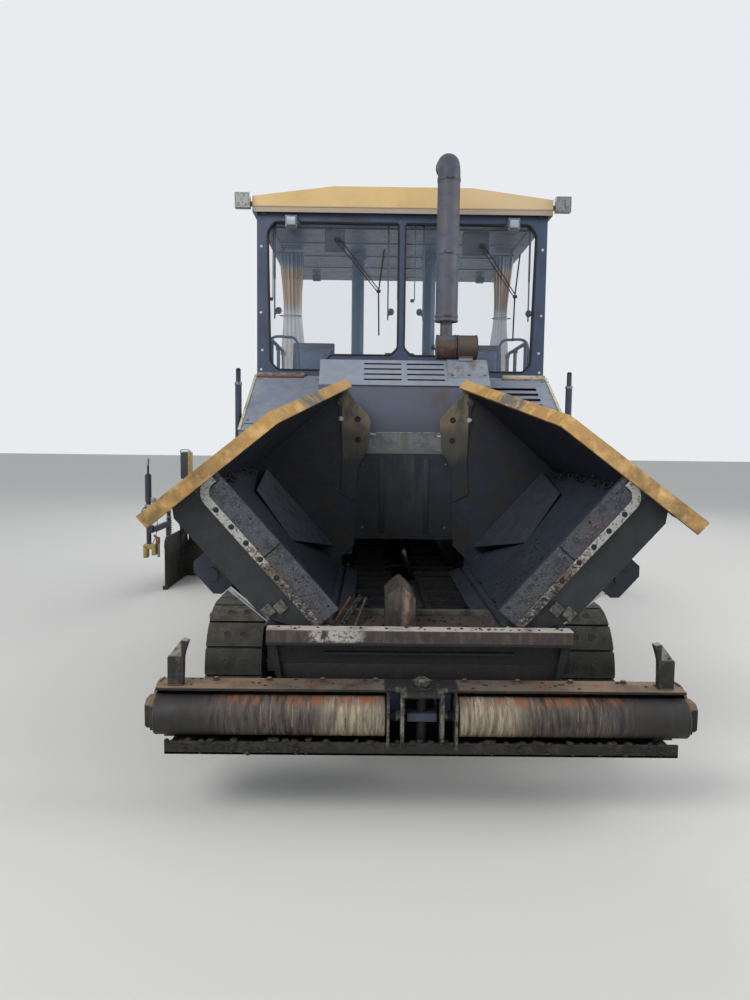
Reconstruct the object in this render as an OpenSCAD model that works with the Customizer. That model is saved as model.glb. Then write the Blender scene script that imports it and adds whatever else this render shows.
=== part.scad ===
// Tracked asphalt paver, parked with its hopper wings folded part way up.
// Millimetres, Z up, ground at Z = 0, the front with the push rollers faces -Y.
// Places along Y are counted back from the push roller axis, and place() sets that axis.

// Which node to draw, or all of them

/* [Frame] */
// Y of the push roller axis
roller_y = -3100; // [-3600:1:-2800]

/* [Push beam] */
// Half length of the push beam, to its end plates
beam_half = 1227; // [900:1:1400]
// Height of the roller axis
roller_z = 478; // [350:1:600]
// Radius of a push roller
roller_r = 90; // [60:1:130]
// Inner end of a roller from the middle
roller_in = 168; // [120:1:300]
// Outer end of a roller from the middle
roller_out = 1209; // [800:1:1300]
// Radius of the roller shafts
roller_shaft_r = 24; // [15:1:40]
// Height of the beam's top plate, its top face
beam_top = 604; // [550:1:700]
// Height of the beam's bottom plate, its underside
beam_bottom = 318; // [250:1:400]
// Back face of the beam behind the roller axis
beam_back = 137; // [110:1:200]
// Front lip of the bottom plate ahead of the roller axis
beam_lip = 72; // [40:1:90]
// Plate thickness of the beam
beam_t = 14; // [8:1:25]
// Radius of the beam's pivot pin
beam_pin_r = 25; // [15:1:40]
// Height of the bent hooks at the beam's ends, top
hook_top = 812; // [700:1:900]

/* [Tracks] */
// Overall height of a track
track_h = 720; // [600:1:900]
// Front idler centre behind the roller axis
idler_y = 1260; // [1000:1:1500]
// Rear sprocket centre behind the roller axis
sprocket_y = 3890; // [3400:1:4300]
// Inner edge of a track shoe from the middle
shoe_in = 868; // [700:1:1000]
// Outer edge of a track shoe from the middle
shoe_out = 1195; // [1000:1:1300]
// Shoe thickness
shoe_t = 32; // [20:1:50]
// Chain thickness under the shoes
chain_t = 46; // [30:1:70]
// Number of shoes round a track
shoe_count = 44; // [30:1:60]
// Depth of the gap between two shoes
shoe_gap_d = 20; // [5:1:30]
// Width of the gap between two shoes
shoe_gap_w = 16; // [5:1:30]

/* [Hopper] */
// Wing hinge axis from the middle
hinge_x = 450; // [350:1:600]
// Height of the wing hinge axis
hinge_z = 800; // [650:1:950]
// Fold of the wings above flat, in degrees, as parked
fold = 48.3; // [0:0.1:61]
// Radius of the hinge knuckles
knuckle_r = 30; // [20:1:45]
// Radius of the hinge pins
hinge_pin_r = 15; // [8:1:20]
// Front face of the wing's front plate
wing_front = 278; // [250:1:400]
// Rear face of the wing's rear plate
wing_rear = 2000; // [1700:1:2200]
// Floor width of a wing, hinge to side wall
wing_w = 955; // [700:1:1100]
// Wing plate thickness
wing_t = 12; // [6:1:20]
// Side wall height above the floor at the rear
wall_rear_h = 894; // [600:1:1100]
// Side wall height at its bend
wall_bend_h = 470; // [300:1:700]
// Place of the bend behind the roller axis
wall_bend_y = 450; // [300:1:800]
// Place of the side wall's front tip
wall_tip_y = 67; // [0:1:250]
// Drop of the front tip below the floor
wall_tip_drop = 250; // [0:1:400]
// Width of the rim along the side wall's top
rim_w = 72; // [30:1:120]
// Thickness of the rim
rim_t = 30; // [15:1:50]
// Drop of the front plate below the floor
skirt_drop = 195; // [100:1:300]
// Inner end of the front plate's full depth
skirt_in = 262; // [50:1:400]
// Width of the worn flap along the front plate
flap_w = 145; // [80:1:200]
// Thickness of the worn flap
flap_t = 14; // [6:1:20]
// Front face of the apron strip
apron_y = 165; // [120:1:220]
// Top of the apron strip
apron_top = 832; // [760:1:900]
// Height of the apron strip
apron_h = 76; // [40:1:120]
// Half length of the apron strip
apron_half = 735; // [500:1:900]
// Front face of the hopper's fixed rear wall
back_y = 2010; // [1900:1:2200]
// Top of the fixed rear wall
back_top = 1630; // [1400:1:1800]
// Half width of the fixed rear wall
back_half = 1150; // [900:1:1200]
// Top of the opening for the conveyors in that wall
tunnel_top = 1020; // [900:1:1200]
// Left side of the front deflector cap, from the middle
cap_x0 = -164; // [-250:1:0]
// Right side of the front deflector cap
cap_x1 = -12; // [-100:1:150]
// Height of the cap's shoulders
cap_shoulder = 955; // [850:1:1000]
// Height of the cap's ridge
cap_ridge = 1015; // [900:1:1100]

/* [Wing cylinders] */
// Lower pivot from the middle
wing_cyl_x = 300; // [240:1:360]
// Height of the lower pivot
wing_cyl_z = 420; // [350:1:500]
// Place of the cylinder behind the roller axis
wing_cyl_y = 500; // [400:1:700]
// Upper eye along the wing's floor from the hinge
wing_eye_a = 580; // [450:1:700]
// Upper eye below the wing's floor
wing_eye_b = 290; // [200:1:350]
// Barrel radius
wing_barrel_r = 40; // [30:1:60]
// Barrel length from its pivot
wing_barrel_l = 600; // [400:1:800]
// Rod radius
wing_rod_r = 24; // [15:1:35]
// Rod length from its eye
wing_rod_l = 650; // [400:1:800]

/* [Tie-down eyes] */
// Inner face of a tie-down eye from the middle
tie_x = 380; // [300:1:600]
// Thickness of a tie-down eye
tie_t = 25; // [15:1:40]
// Radius of a tie-down eye's hole
tie_r = 26; // [15:1:40]

/* [Body] */
// Half width of the body
body_half = 1200; // [1000:1:1250]
// Underside of the body above the tracks
body_low = 790; // [740:1:900]
// Rear face of the body
body_rear = 4400; // [4000:1:4700]
// Half width of the middle bonnet
bonnet_half = 630; // [500:1:800]
// Front face of the bonnet
bonnet_y = 2150; // [2050:1:2400]
// Height where the bonnet's face meets its slope
bonnet_face_top = 2135; // [1900:1:2300]
// Height of the bonnet's top
bonnet_top = 2335; // [2200:1:2500]
// Place where the slope meets the top
bonnet_top_y = 2360; // [2200:1:2600]
// Height where the side hoods meet the windshield
side_top = 2250; // [2000:1:2400]
// Place where the side hoods start to slope
side_low_y = 2310; // [2200:1:2600]
// Sheet thickness of the body
sheet_t = 8; // [3:1:15]
// Front face of the windshield frame
shield_y = 2985; // [2800:1:3200]
// Height of the platform floor
floor_z = 1650; // [1400:1:1900]

/* [Service doors] */
// Front edge of a service door
door_y0 = 2440; // [2300:1:2800]
// Rear edge of a service door
door_y1 = 3360; // [3000:1:3900]
// Bottom of a service door
door_z0 = 1010; // [950:1:1200]
// Top of a service door
door_z1 = 1520; // [1400:1:1700]

/* [Exhaust] */
// Stack centre from the middle
stack_x = 320; // [200:1:450]
// Hinge axis behind the roller axis
stack_y = 2400; // [2300:1:2600]
// Height of the hinge axis
stack_z = 2440; // [2380:1:2600]
// Stack radius
stack_r = 84; // [50:1:110]
// Bottom of the wide stack
stack_low = 2632; // [2560:1:2800]
// Top of the straight part
stack_high = 3710; // [3400:1:4000]
// Drum radius at the hinge
drum_r = 92; // [60:1:110]
// Width of each drum
drum_w = 148; // [100:1:180]

/* [Roof] */
// Front face of the roof
roof_y0 = 2935; // [2700:1:3100]
// Rear face of the roof
roof_y1 = 5540; // [4500:1:5800]
// Half width of the roof
roof_half = 1235; // [1100:1:1300]
// Underside of the roof's rim
roof_low = 3585; // [3400:1:3700]
// Top of the rim at the sides
roof_side = 3710; // [3600:1:3800]
// Top of the raised middle
roof_top = 3795; // [3700:1:3900]
// Half width of the raised middle
crown_half = 565; // [400:1:900]
// Thickness of the roof skin
roof_t = 14; // [5:1:30]
// Place of the rear columns
column_y = 4360; // [4200:1:4380]
// Radius of the rear columns
column_r = 62; // [40:1:80]

/* [Screed] */
// Tow pivot behind the roller axis
tow_y = 2150; // [2100:1:2800]
// Height of the tow pivot
tow_z = 460; // [350:1:600]
// Outer face of the tow arms
arm_out = 1285; // [1240:1:1300]
// Front face of the main screed
screed_y0 = 5050; // [4950:1:5200]
// Rear face of the main screed
screed_y1 = 5560; // [5400:1:5700]
// Half width of the main screed
screed_half = 1240; // [1000:1:1245]
// Height of the main screed's top
screed_top = 520; // [400:1:700]
// Underside of the screed plates
screed_low = 6; // [0:1:20]
// Front face of an extension screed
ext_y0 = 5850; // [5700:1:6000]
// Rear face of an extension screed
ext_y1 = 6210; // [6100:1:6300]
// How far each extension is slid out, as parked
ext_out = 1240; // [0:1:1240]
// Inner face of an end gate, with the extension in
gate_in = 1300; // [1290:1:1320]
// Front edge of an end gate
gate_y0 = 4990; // [4950:1:5100]
// Rear edge of an end gate
gate_y1 = 6290; // [6200:1:6350]
// Height of an end gate
gate_h = 600; // [400:1:700]
// Radius of the guide tubes
guide_r = 48; // [30:1:60]
// Auger axis behind the roller axis
auger_y = 4715; // [4650:1:4750]
// Height of the auger axis
auger_z = 405; // [350:1:500]
// Radius of the auger flights
auger_r = 175; // [120:1:200]
// Outer end of an auger
auger_out = 1190; // [900:1:1220]

/* [Lift cylinders] */
// Place of the upper pivot
lift_y = 4500; // [4450:1:4600]
// Height of the upper pivot
lift_z = 1450; // [1200:1:1600]
// Place of the lower eye
lift_eye_y = 5150; // [5100:1:5300]
// Height of the lower eye
lift_eye_z = 800; // [700:1:900]
// Lift cylinders from the middle
lift_x = 900; // [700:1:1100]

/* [Hidden] */
$fn = 48;
pi = 3.14159265;
track_mid = (shoe_in + shoe_out) / 2;
idler_z = track_h / 2;
chain_in = idler_z - shoe_t - chain_t;
gate_x = gate_in + ext_out;
bend_r = 100;
shield_half = body_half + 5;
run_gap = 0.4;
hinge_out = 12;
ext_x0 = 30;
ext_x1 = gate_in;

// Helpers: x0..x1, y0..y1, z0..z1 are the two faces along each axis
module place() { translate([0, roller_y, 0]) children(); }
module both() { children(); mirror([1, 0, 0]) children(); }
module block(x0, x1, y0, y1, z0, z1) {
  translate([x0, y0, z0]) cube([x1 - x0, y1 - y0, z1 - z0]);
}
module side_plate(x0, x1, pts) {
  translate([x0, 0, 0]) rotate([90, 0, 90]) linear_extrude(x1 - x0) polygon(pts);
}
module front_plate(y0, y1, pts) {
  translate([0, y1, 0]) rotate([90, 0, 0]) linear_extrude(y1 - y0) polygon(pts);
}
module bar_x(x0, x1, y, z, r) {
  translate([x0, y, z]) rotate([0, 90, 0]) cylinder(h = x1 - x0, r = r);
}
module bar_y(y0, y1, x, z, r) {
  translate([x, y0, z]) rotate([-90, 0, 0]) cylinder(h = y1 - y0, r = r);
}
module bar_z(z0, z1, x, y, r) { translate([x, y, z0]) cylinder(h = z1 - z0, r = r); }

// Push beam: rollers on fixed shafts, swinging on one upright pin in the middle
module push_beam() {
  color("#2b2f36") place() {
    difference() {
      union() {
        block(-beam_half, beam_half, -12, beam_back, beam_top - beam_t, beam_top);
        block(-beam_half, beam_half, beam_back - beam_t, beam_back, beam_bottom, beam_top);
        block(-beam_half, beam_half, -beam_lip, beam_back, beam_bottom, beam_bottom + beam_t);
        block(-beam_half, beam_half, -beam_lip, -beam_lip + beam_t, beam_bottom, 378);
      }
      block(-150, 150, 60, 200, 430, 540);
    }
    both() {
      block(beam_half - 14, beam_half, -60, beam_back, beam_bottom, beam_top);
      block(148, 160, -88, beam_back, 345, 590);
      block(82, 98, -88, beam_back - beam_t, 345, 590);
      bar_x(98, beam_half, 0, roller_z, roller_shaft_r);
      bar_x(beam_half, beam_half + 8, 0, roller_z, 44);
      translate([beam_half + 8, 0, roller_z]) rotate([0, 90, 0]) cylinder(h = 18, r = 34, $fn = 6);
      front_plate(18, 58, [[1052, beam_top], [1094, beam_top], [1164, 770], [1150, hook_top],
        [1112, hook_top - 14]]);
    }
    bar_z(beam_bottom, beam_top + 22, 0, 0, beam_pin_r);
    block(-98, 98, -88, -12, beam_top - beam_t, beam_top);
    bar_z(beam_top, beam_top + 12, 0, 0, 46);
  }
}
module roller(x0, x1) {
  color("#8a7a66") place() difference() {
    union() {
      bar_x(x0, x1, 0, roller_z, roller_r);
    }
    bar_x(x0 - 1, x1 + 1, 0, roller_z, roller_shaft_r + run_gap);
    bar_x(x0 - 1, x0 + 14, 0, roller_z, roller_r - 16);
    bar_x(x1 - 14, x1 + 1, 0, roller_z, roller_r - 16);
  }
}

// Track loop: shoes over a chain, one closed band round the idler and the sprocket
module loop_2d(r) {
  translate([idler_y, idler_z]) circle(r);
  translate([sprocket_y, idler_z]) circle(r);
  translate([idler_y, idler_z - r]) square([sprocket_y - idler_y, 2 * r]);
}
module shoe_gaps() {
  run = sprocket_y - idler_y;
  step = (2 * run + 2 * pi * idler_z) / shoe_count;
  for (i = [0 : floor(run / step) - 1]) {
    translate([idler_y + (i + 0.5) * step, track_h - shoe_gap_d])
      square([shoe_gap_w, shoe_gap_d + 1]);
    translate([idler_y + (i + 0.5) * step, -1]) square([shoe_gap_w, shoe_gap_d + 1]);
  }
  for (end = [[idler_y, 90], [sprocket_y, -90]])
    for (a = [-78 : 26 : 78])
      translate([end[0], idler_z]) rotate(end[1] + a)
        translate([-shoe_gap_w / 2, idler_z - shoe_gap_d]) square([shoe_gap_w, shoe_gap_d + 1]);
}
module track(s) {
  x0 = s * shoe_in;
  x1 = s * shoe_out;
  mid = (x0 + x1) / 2;
  color("#4a4a44") place() {
    translate([min(x0, x1), 0, 0]) rotate([90, 0, 90]) linear_extrude(shoe_out - shoe_in)
      difference() { loop_2d(idler_z); loop_2d(idler_z - shoe_t); shoe_gaps(); }
    translate([mid - 60, 0, 0]) rotate([90, 0, 90]) linear_extrude(120)
      difference() { loop_2d(idler_z - shoe_t); loop_2d(chain_in); }
  }
}
module track_frame(s) {
  mid = s * (shoe_in + shoe_out) / 2;
  color("#33373d") place() {
    // bracket that shows beside the track, bent up at its outer end
    mirror([s < 0 ? 1 : 0, 0, 0]) {
      block(1091, 1240, 1480, 1540, 400, 440);
      block(1240, 1290, 1480, 1540, 400, 552);
      block(1200, 1290, 1480, 1540, 552, 582);
    }
    block(mid - 60, mid + 60, idler_y + 60, sprocket_y - 320, 200, 470);
    block(mid - 34, mid + 34, idler_y + 190, sprocket_y - 330, idler_z - chain_in, 200);
    block(mid - 34, mid + 34, idler_y - 10, idler_y + 190, 300, 420);
    difference() {
      bar_x(mid - 44, mid + 44, idler_y, idler_z, chain_in - 2);
      bar_x(mid - 45, mid - 34, idler_y, idler_z, chain_in - 42);
      bar_x(mid + 34, mid + 45, idler_y, idler_z, chain_in - 42);
    }
    bar_x(mid - 85, mid + 85, idler_y, idler_z, 52);
    difference() {
      bar_x(mid - 36, mid + 36, sprocket_y, idler_z, chain_in - 4);
      for (a = [0 : 45 : 315]) translate([mid - 40, sprocket_y, idler_z])
        rotate([a, 0, 0]) translate([0, 0, 190]) rotate([0, 90, 0]) cylinder(h = 80, r = 34);
    }
    bar_x(min(s * 700, s * 1150), max(s * 700, s * 1150), sprocket_y, idler_z, 128);
    block(mid - 50, mid + 50, sprocket_y - 330, sprocket_y, 262, 460);
    for (y = [1520 : 340 : 3560]) bar_x(mid - 72, mid + 72, y, idler_z - chain_in + 78, 76);
    for (y = [2050, 3050]) {
      bar_x(mid - 56, mid + 56, y, 582, 54);
      block(mid - 20, mid + 20, y - 30, y + 30, 470, 582);
    }
  }
}

// Hopper: fixed trough between the wings, hinge lugs, rear wall and apron strip
LUGS = [[300, 400], [820, 920], [1360, 1460], [1880, 1980]]; // y0, y1
module hopper() {
  color("#2d3442") place() {
    block(-460, 460, 205, 680, 700, 712);
    block(-445, 445, 920, 2022, 700, 712);
    both() {
      block(445, 460, 240, back_y + 12, 700, 760);
      block(445, 460, back_y, back_y + 12, 752, 800);
      for (l = LUGS) block(440, 460, l[0], l[1], 740, 790);
      for (l = LUGS) bar_y(l[0], l[1], hinge_x, hinge_z, knuckle_r);
      bar_y(LUGS[0][0], LUGS[3][1], hinge_x, hinge_z, hinge_pin_r);
      front_plate(240, 1990, [[330, 778], [398, 806], [404, 786], [408, 764], [420, 745],
        [446, 745], [446, 757], [426, 757], [416, 770], [411, 790], [410, 816], [398, 816],
        [330, 784]]);
      front_plate(apron_y + 32, 225, [[690, apron_top - apron_h], [720, apron_top - apron_h],
        [720, 700], [668, 508], [652, 508]]);
    }
    block(-apron_half, apron_half, apron_y, 225, apron_top - apron_h, apron_top);
    block(-apron_half, apron_half, 225, 240, 610, apron_top);
    block(-404, 404, 240, 640, 776, 790);
    block(-404, 404, 640, 676, 712, 818);
    front_plate(330, 640, [[cap_x0, 790], [cap_x0, cap_shoulder],
      [(cap_x0 + cap_x1) / 2 - 8, cap_ridge], [(cap_x0 + cap_x1) / 2 + 8, cap_ridge],
      [cap_x1, cap_shoulder - 6], [cap_x1, 790]]);
    difference() {
      union() {
        block(-back_half, back_half, back_y, back_y + 12, 782, back_top);
        side_plate(-bonnet_half, bonnet_half, [[back_y, back_top - 12], [back_y, back_top],
          [bonnet_y, 1792], [bonnet_y, 1776], [back_y + 12, back_top - 12]]);
      }
      block(-445, 445, back_y - 1, back_y + 13, 700, tunnel_top);
    }
  }
}
// Conveyors: two chain and bar loops under the hopper floor, back to the augers
CHAIN_X = [[90, 126], [356, 392]]; // x0, x1 of the two chains of one conveyor
module conveyors() {
  y0 = 800;
  y1 = 4420;
  z = 660;
  color("#54493f") place() both() {
    for (c = CHAIN_X) translate([c[0], 0, 0]) rotate([90, 0, 90]) linear_extrude(c[1] - c[0])
      difference() {
        union() {
          translate([y0, z]) circle(96);
          translate([y1, z]) circle(96);
          translate([y0, z - 96]) square([y1 - y0, 192]);
        }
        translate([y0, z]) circle(66);
        translate([y1, z]) circle(66);
        translate([y0, z - 66]) square([y1 - y0, 132]);
      }
    for (y = [y0 + 60 : 240 : y1]) {
      block(80, 400, y, y + 36, z + 78, z + 112);
      block(80, 400, y + 120, y + 156, z - 112, z - 78);
    }
    for (y = [y0, y1]) {
      bar_x(72, 460, y, z, 28);
      for (c = CHAIN_X) bar_x(c[0], c[1], y, z, 66);
    }
  }
}

// Wing in its own plane: a runs out from the hinge, b stands up from the floor
WING_KNUCKLES = [[405, 815], [925, 1355], [1465, 1875]]; // y0, y1
module wing_body() {
  rim_in = wing_w - 22;
  // floor, with its knuckles and the strips that join them
  block(38, wing_w, wing_front + wing_t, wing_rear - 15, -wing_t, 0);
  for (k = WING_KNUCKLES) difference() {
    union() {
      bar_y(k[0], k[1], 0, 0, knuckle_r);
      block(0, 60, k[0], k[1], -wing_t, 0);
    }
    bar_y(k[0] - 1, k[1] + 1, 0, 0, hinge_pin_r + run_gap);
  }
  // side wall, cut to its sloping top
  side_plate(wing_w, wing_w + wing_t, [[wall_tip_y, -wall_tip_drop], [wall_bend_y, wall_bend_h],
    [wing_rear, wall_rear_h], [wing_rear, -30], [wing_front + wing_t, -30],
    [wing_front + wing_t, -skirt_drop], [wall_tip_y + 30, -wall_tip_drop - 12]]);
  // rim
  side_plate(rim_in, rim_in + rim_w, [[wall_tip_y - 4, -wall_tip_drop - 12],
    [wall_bend_y - 20, wall_bend_h + 12], [wing_rear, wall_rear_h + rim_t],
    [wing_rear, wall_rear_h], [wall_bend_y, wall_bend_h], [wall_tip_y + 24, -wall_tip_drop - 20]]);
  // front plate and the worn flap on it
  front_plate(wing_front, wing_front + wing_t, [[40, -60], [skirt_in, -skirt_drop],
    [wing_w - 50, -skirt_drop], [wing_w + wing_t, -skirt_drop + 40], [wing_w + wing_t, 0],
    [40, 0]]);
  for (f = [[46, 470], [478, wing_w - 60]]) // a0, a1 of the two flaps
    block(f[0], f[1], wing_front - flap_t, wing_front, -30, flap_w - 30);
  block(40, wing_w, wing_front, wing_front + 40, 0, flap_w - 34);
  // rear plate
  difference() {
    front_plate(wing_rear - 15, wing_rear, [[60, -wing_t], [70, 190], [555, 655], [618, 779],
      [693, 845], [wing_w, wall_rear_h - 4], [wing_w, -wing_t]]);
    bar_y(wing_rear - 20, wing_rear + 5, 700, 790, 16);
    bar_y(wing_rear - 20, wing_rear + 5, 622, 700, 16);
  }
  // ribs and the bracket of the lift cylinder
  for (y = [640, 1240, 1840]) block(120, wing_w, y, y + 12, -42, -wing_t);
  for (y = [wing_cyl_y - 46, wing_cyl_y + 34]) difference() {
    front_plate(y, y + 12, [[470, -wing_t], [470, -320], [500, -352], [650, -352], [690, -316],
      [690, -wing_t]]);
    bar_y(y - 1, y + 13, wing_eye_a, -wing_eye_b, 21);
  }
  for (y = [wing_cyl_y - 56, wing_cyl_y + 46])
    bar_y(y, y + 10, wing_eye_a, -wing_eye_b, 34);
}
module wing(s) {
  color("#26304a") place() mirror([s < 0 ? 1 : 0, 0, 0])
    translate([hinge_x, 0, hinge_z]) rotate([0, -fold, 0]) wing_body();
}
// Lift cylinder of a wing, aimed from its lower pivot at the eye under the wing
eye_x = hinge_x + wing_eye_a * cos(fold) + wing_eye_b * sin(fold);
eye_z = hinge_z + wing_eye_a * sin(fold) - wing_eye_b * cos(fold);
wing_cyl_l = sqrt(pow(eye_x - wing_cyl_x, 2) + pow(eye_z - wing_cyl_z, 2));
wing_cyl_a = atan2(eye_z - wing_cyl_z, eye_x - wing_cyl_x);
module along_wing_cyl(s) {
  place() mirror([s < 0 ? 1 : 0, 0, 0]) translate([wing_cyl_x, wing_cyl_y, wing_cyl_z])
    rotate([0, 90 - wing_cyl_a, 0]) children();
}
module wing_barrel(s) {
  color("#c9952f") along_wing_cyl(s) difference() {
    union() {
      translate([0, 0, 84]) cylinder(h = wing_barrel_l - 84, r = wing_barrel_r);
      translate([0, -24, 0]) rotate([-90, 0, 0]) cylinder(h = 48, r = 38);
      translate([-24, -24, 0]) cube([48, 48, 94]);
      translate([0, 0, wing_barrel_l - 40]) cylinder(h = 40, r = wing_barrel_r + 6);
    }
    translate([0, -25, 0]) rotate([-90, 0, 0]) cylinder(h = 50, r = 19 + run_gap);
    translate([0, 0, 70]) cylinder(h = wing_barrel_l, r = wing_rod_r + run_gap);
  }
}
module wing_rod(s) {
  color("#b9bcc0") along_wing_cyl(s) difference() {
    union() {
      translate([0, 0, wing_cyl_l - wing_rod_l]) cylinder(h = wing_rod_l - 50, r = wing_rod_r);
      translate([-26, -23, wing_cyl_l - 56]) cube([52, 46, 50]);
      translate([0, -23, wing_cyl_l]) rotate([-90, 0, 0]) cylinder(h = 46, r = 38);
    }
    translate([0, -25, wing_cyl_l]) rotate([-90, 0, 0]) cylinder(h = 50, r = 21);
  }
}

// Chassis: side plates, nose with the beam's tongue, cross beams, decks, auger carrier
module chassis() {
  color("#2d3442") place() {
    both() {
      side_plate(460, 480, [[640, 300], [640, 760], [2022, 760], [2022, 1035],
        [body_rear, 1035], [body_rear, 300]]);
      for (y = [1800, 3150]) block(480, track_mid - 60, y, y + 200, 250, 420);
      block(480, body_half - 8, 2022, body_rear - 20, body_low, body_low + 14);
      for (y = [wing_cyl_y - 46, wing_cyl_y + 32]) block(200, 345, y, y + 14, 375, 465);
      bar_y(wing_cyl_y - 58, wing_cyl_y + 58, wing_cyl_x, wing_cyl_z, 19);
      // bracket that carries the tow pivot outside the track, with its levelling cylinder
      block(1206, 1218, tow_y - 95, tow_y + 95, 380, 1060);
      block(480, 1218, tow_y - 95, tow_y + 95, 752, 790);
      bar_x(1206, 1292, tow_y, tow_z, 28);
      bar_z(640, 1240, 1252, tow_y, 36);
      bar_z(600, 640, 1252, tow_y, 22);
      block(1218, 1272, tow_y - 20, tow_y + 20, 560, 604);
      block(1206, 1270, tow_y - 60, tow_y + 60, 1000, 1060);
      block(body_half, 1207, tow_y - 60, tow_y + 60, 830, 1060);
      // marker post on its bracket
      block(body_half, 1262, 2240, 2310, 1180, 1210);
      bar_z(1210, 2150, 1237, 2275, 24);
      bar_z(2150, 2233, 1237, 2275, 18);
      // carrier of the lift cylinders at the rear
      for (x = [lift_x - 46, lift_x + 32]) side_plate(x, x + 14, [[body_rear, 1300],
        [body_rear, 1540], [lift_y + 20, 1510], [lift_y + 48, 1450], [lift_y + 20, 1400]]);
      bar_x(lift_x - 58, lift_x + 58, lift_y, lift_z, 24);
      // auger end carriers
      side_plate(1196, 1208, [[body_rear, 300], [body_rear, 560], [auger_y + 40, 520],
        [auger_y + 60, auger_z], [auger_y + 40, 330]]);
      bar_x(1188, 1212, auger_y, auger_z, 40);
      block(480, 1208, body_rear - 40, body_rear, 430, 560);
    }
    block(-460, 460, 640, body_rear, 300, 314);
    for (y = [1000, 2350, 3700]) block(-460, 460, y, y + 120, 314, 520);
    block(-480, 480, 2022, body_rear, 1035, 1050);
    // tie-down eyes: a pair under the apron, a pair at the rear
    both() difference() {
      union() {
        block(tie_x, tie_x + tie_t, 240, 420, 560, 700);
        block(200, tie_x + tie_t, 400, 420, 560, 700);
      }
      bar_x(tie_x - 1, tie_x + tie_t + 1, 330, 620, tie_r);
    }
    both() difference() {
      block(480 - tie_t, 480, body_rear - 1, body_rear + 105, 695, 790);
      bar_x(479 - tie_t, 481, body_rear + 52, 742, tie_r);
    }
    // nose and tongue
    difference() {
      block(-220, 220, 240, 640, 330, 700);
      block(-200, 200, 260, 641, 350, 690);
    }
    difference() {
      block(-66, 66, -48, 240, 470, 506);
      bar_z(469, 507, 0, 0, beam_pin_r + run_gap);
    }
    // auger drive box and the plate behind the conveyors
    block(-70, 70, body_rear, auger_y + 70, 300, 640);
    block(-480, 480, body_rear - 12, body_rear, 300, 540);
    bar_x(-90, 90, auger_y, auger_z, 66);
  }
}

// Bonnet over the engine, with the louvred slope and the exhaust's fixed drum
module bonnet() {
  t = sheet_t;
  color("#8d8da6") place() {
    difference() {
      union() {
        side_plate(-bonnet_half, bonnet_half, [[bonnet_y, 1776], [bonnet_y, bonnet_face_top],
          [bonnet_top_y, bonnet_top], [shield_y, bonnet_top], [shield_y, bonnet_top - t],
          [bonnet_top_y + 4, bonnet_top - t], [bonnet_y + t, bonnet_face_top - 4],
          [bonnet_y + t, 1776]]);
        both() side_plate(bonnet_half - t, bonnet_half, [[bonnet_y, 1640],
          [bonnet_y, bonnet_face_top], [bonnet_top_y, bonnet_top], [shield_y, bonnet_top],
          [shield_y, 1640]]);
      }
      // louvre slots: two columns of four
      for (c = [[-300, -20], [20, 300]]) for (i = [0 : 3])
        block(c[0], c[1], bonnet_y - 20, bonnet_top_y + 60,
          bonnet_face_top + 36 + i * 42, bonnet_face_top + 46 + i * 42);
    }
    // exhaust seat and fixed drum
    side_plate(330, 625, [[2215, 2200], [2300, 2290], [2360, 2345], [2470, 2345],
      [2470, bonnet_top], [bonnet_top_y, bonnet_top], [2218, 2195]]);
    block(stack_x + drum_w / 2 + 20, 520, stack_y - 60, stack_y + 60, bonnet_top, stack_z);
    bar_x(stack_x + drum_w / 2 + 6, 555, stack_y, stack_z, drum_r);
    bar_x(stack_x - drum_w / 2 - 20, stack_x + drum_w / 2 + 6, stack_y, stack_z, 20);
  }
}
module stack_bend(r) {
  translate([stack_x, stack_y + bend_r, stack_high]) rotate([90, 0, 90])
    rotate_extrude(angle = 90, start = 90) translate([bend_r, 0]) circle(r);
  bar_y(stack_y + bend_r, stack_y + bend_r + 45, stack_x, stack_high + bend_r, r);
}
module exhaust_stack() {
  color("#6b5f57") place() {
    difference() {
      union() {
        bar_x(stack_x - drum_w / 2, stack_x + drum_w / 2, stack_y, stack_z, drum_r);
        bar_z(stack_z, stack_low, stack_x, stack_y, 46);
        bar_z(stack_low, stack_high, stack_x, stack_y, stack_r);
        stack_bend(stack_r);
      }
      bar_x(stack_x - drum_w, stack_x + drum_w, stack_y, stack_z, 20 + run_gap);
      bar_z(stack_low + 14, stack_high, stack_x, stack_y, stack_r - 6);
      stack_bend(stack_r - 6);
      bar_y(stack_y + bend_r + 40, stack_y + bend_r + 50, stack_x, stack_high + bend_r,
        stack_r - 6);
    }
  }
}
module engine_block() {
  color("#5b5f63") place() block(-420, 420, 2420, 3180, 1050, 1600);
}

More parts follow.
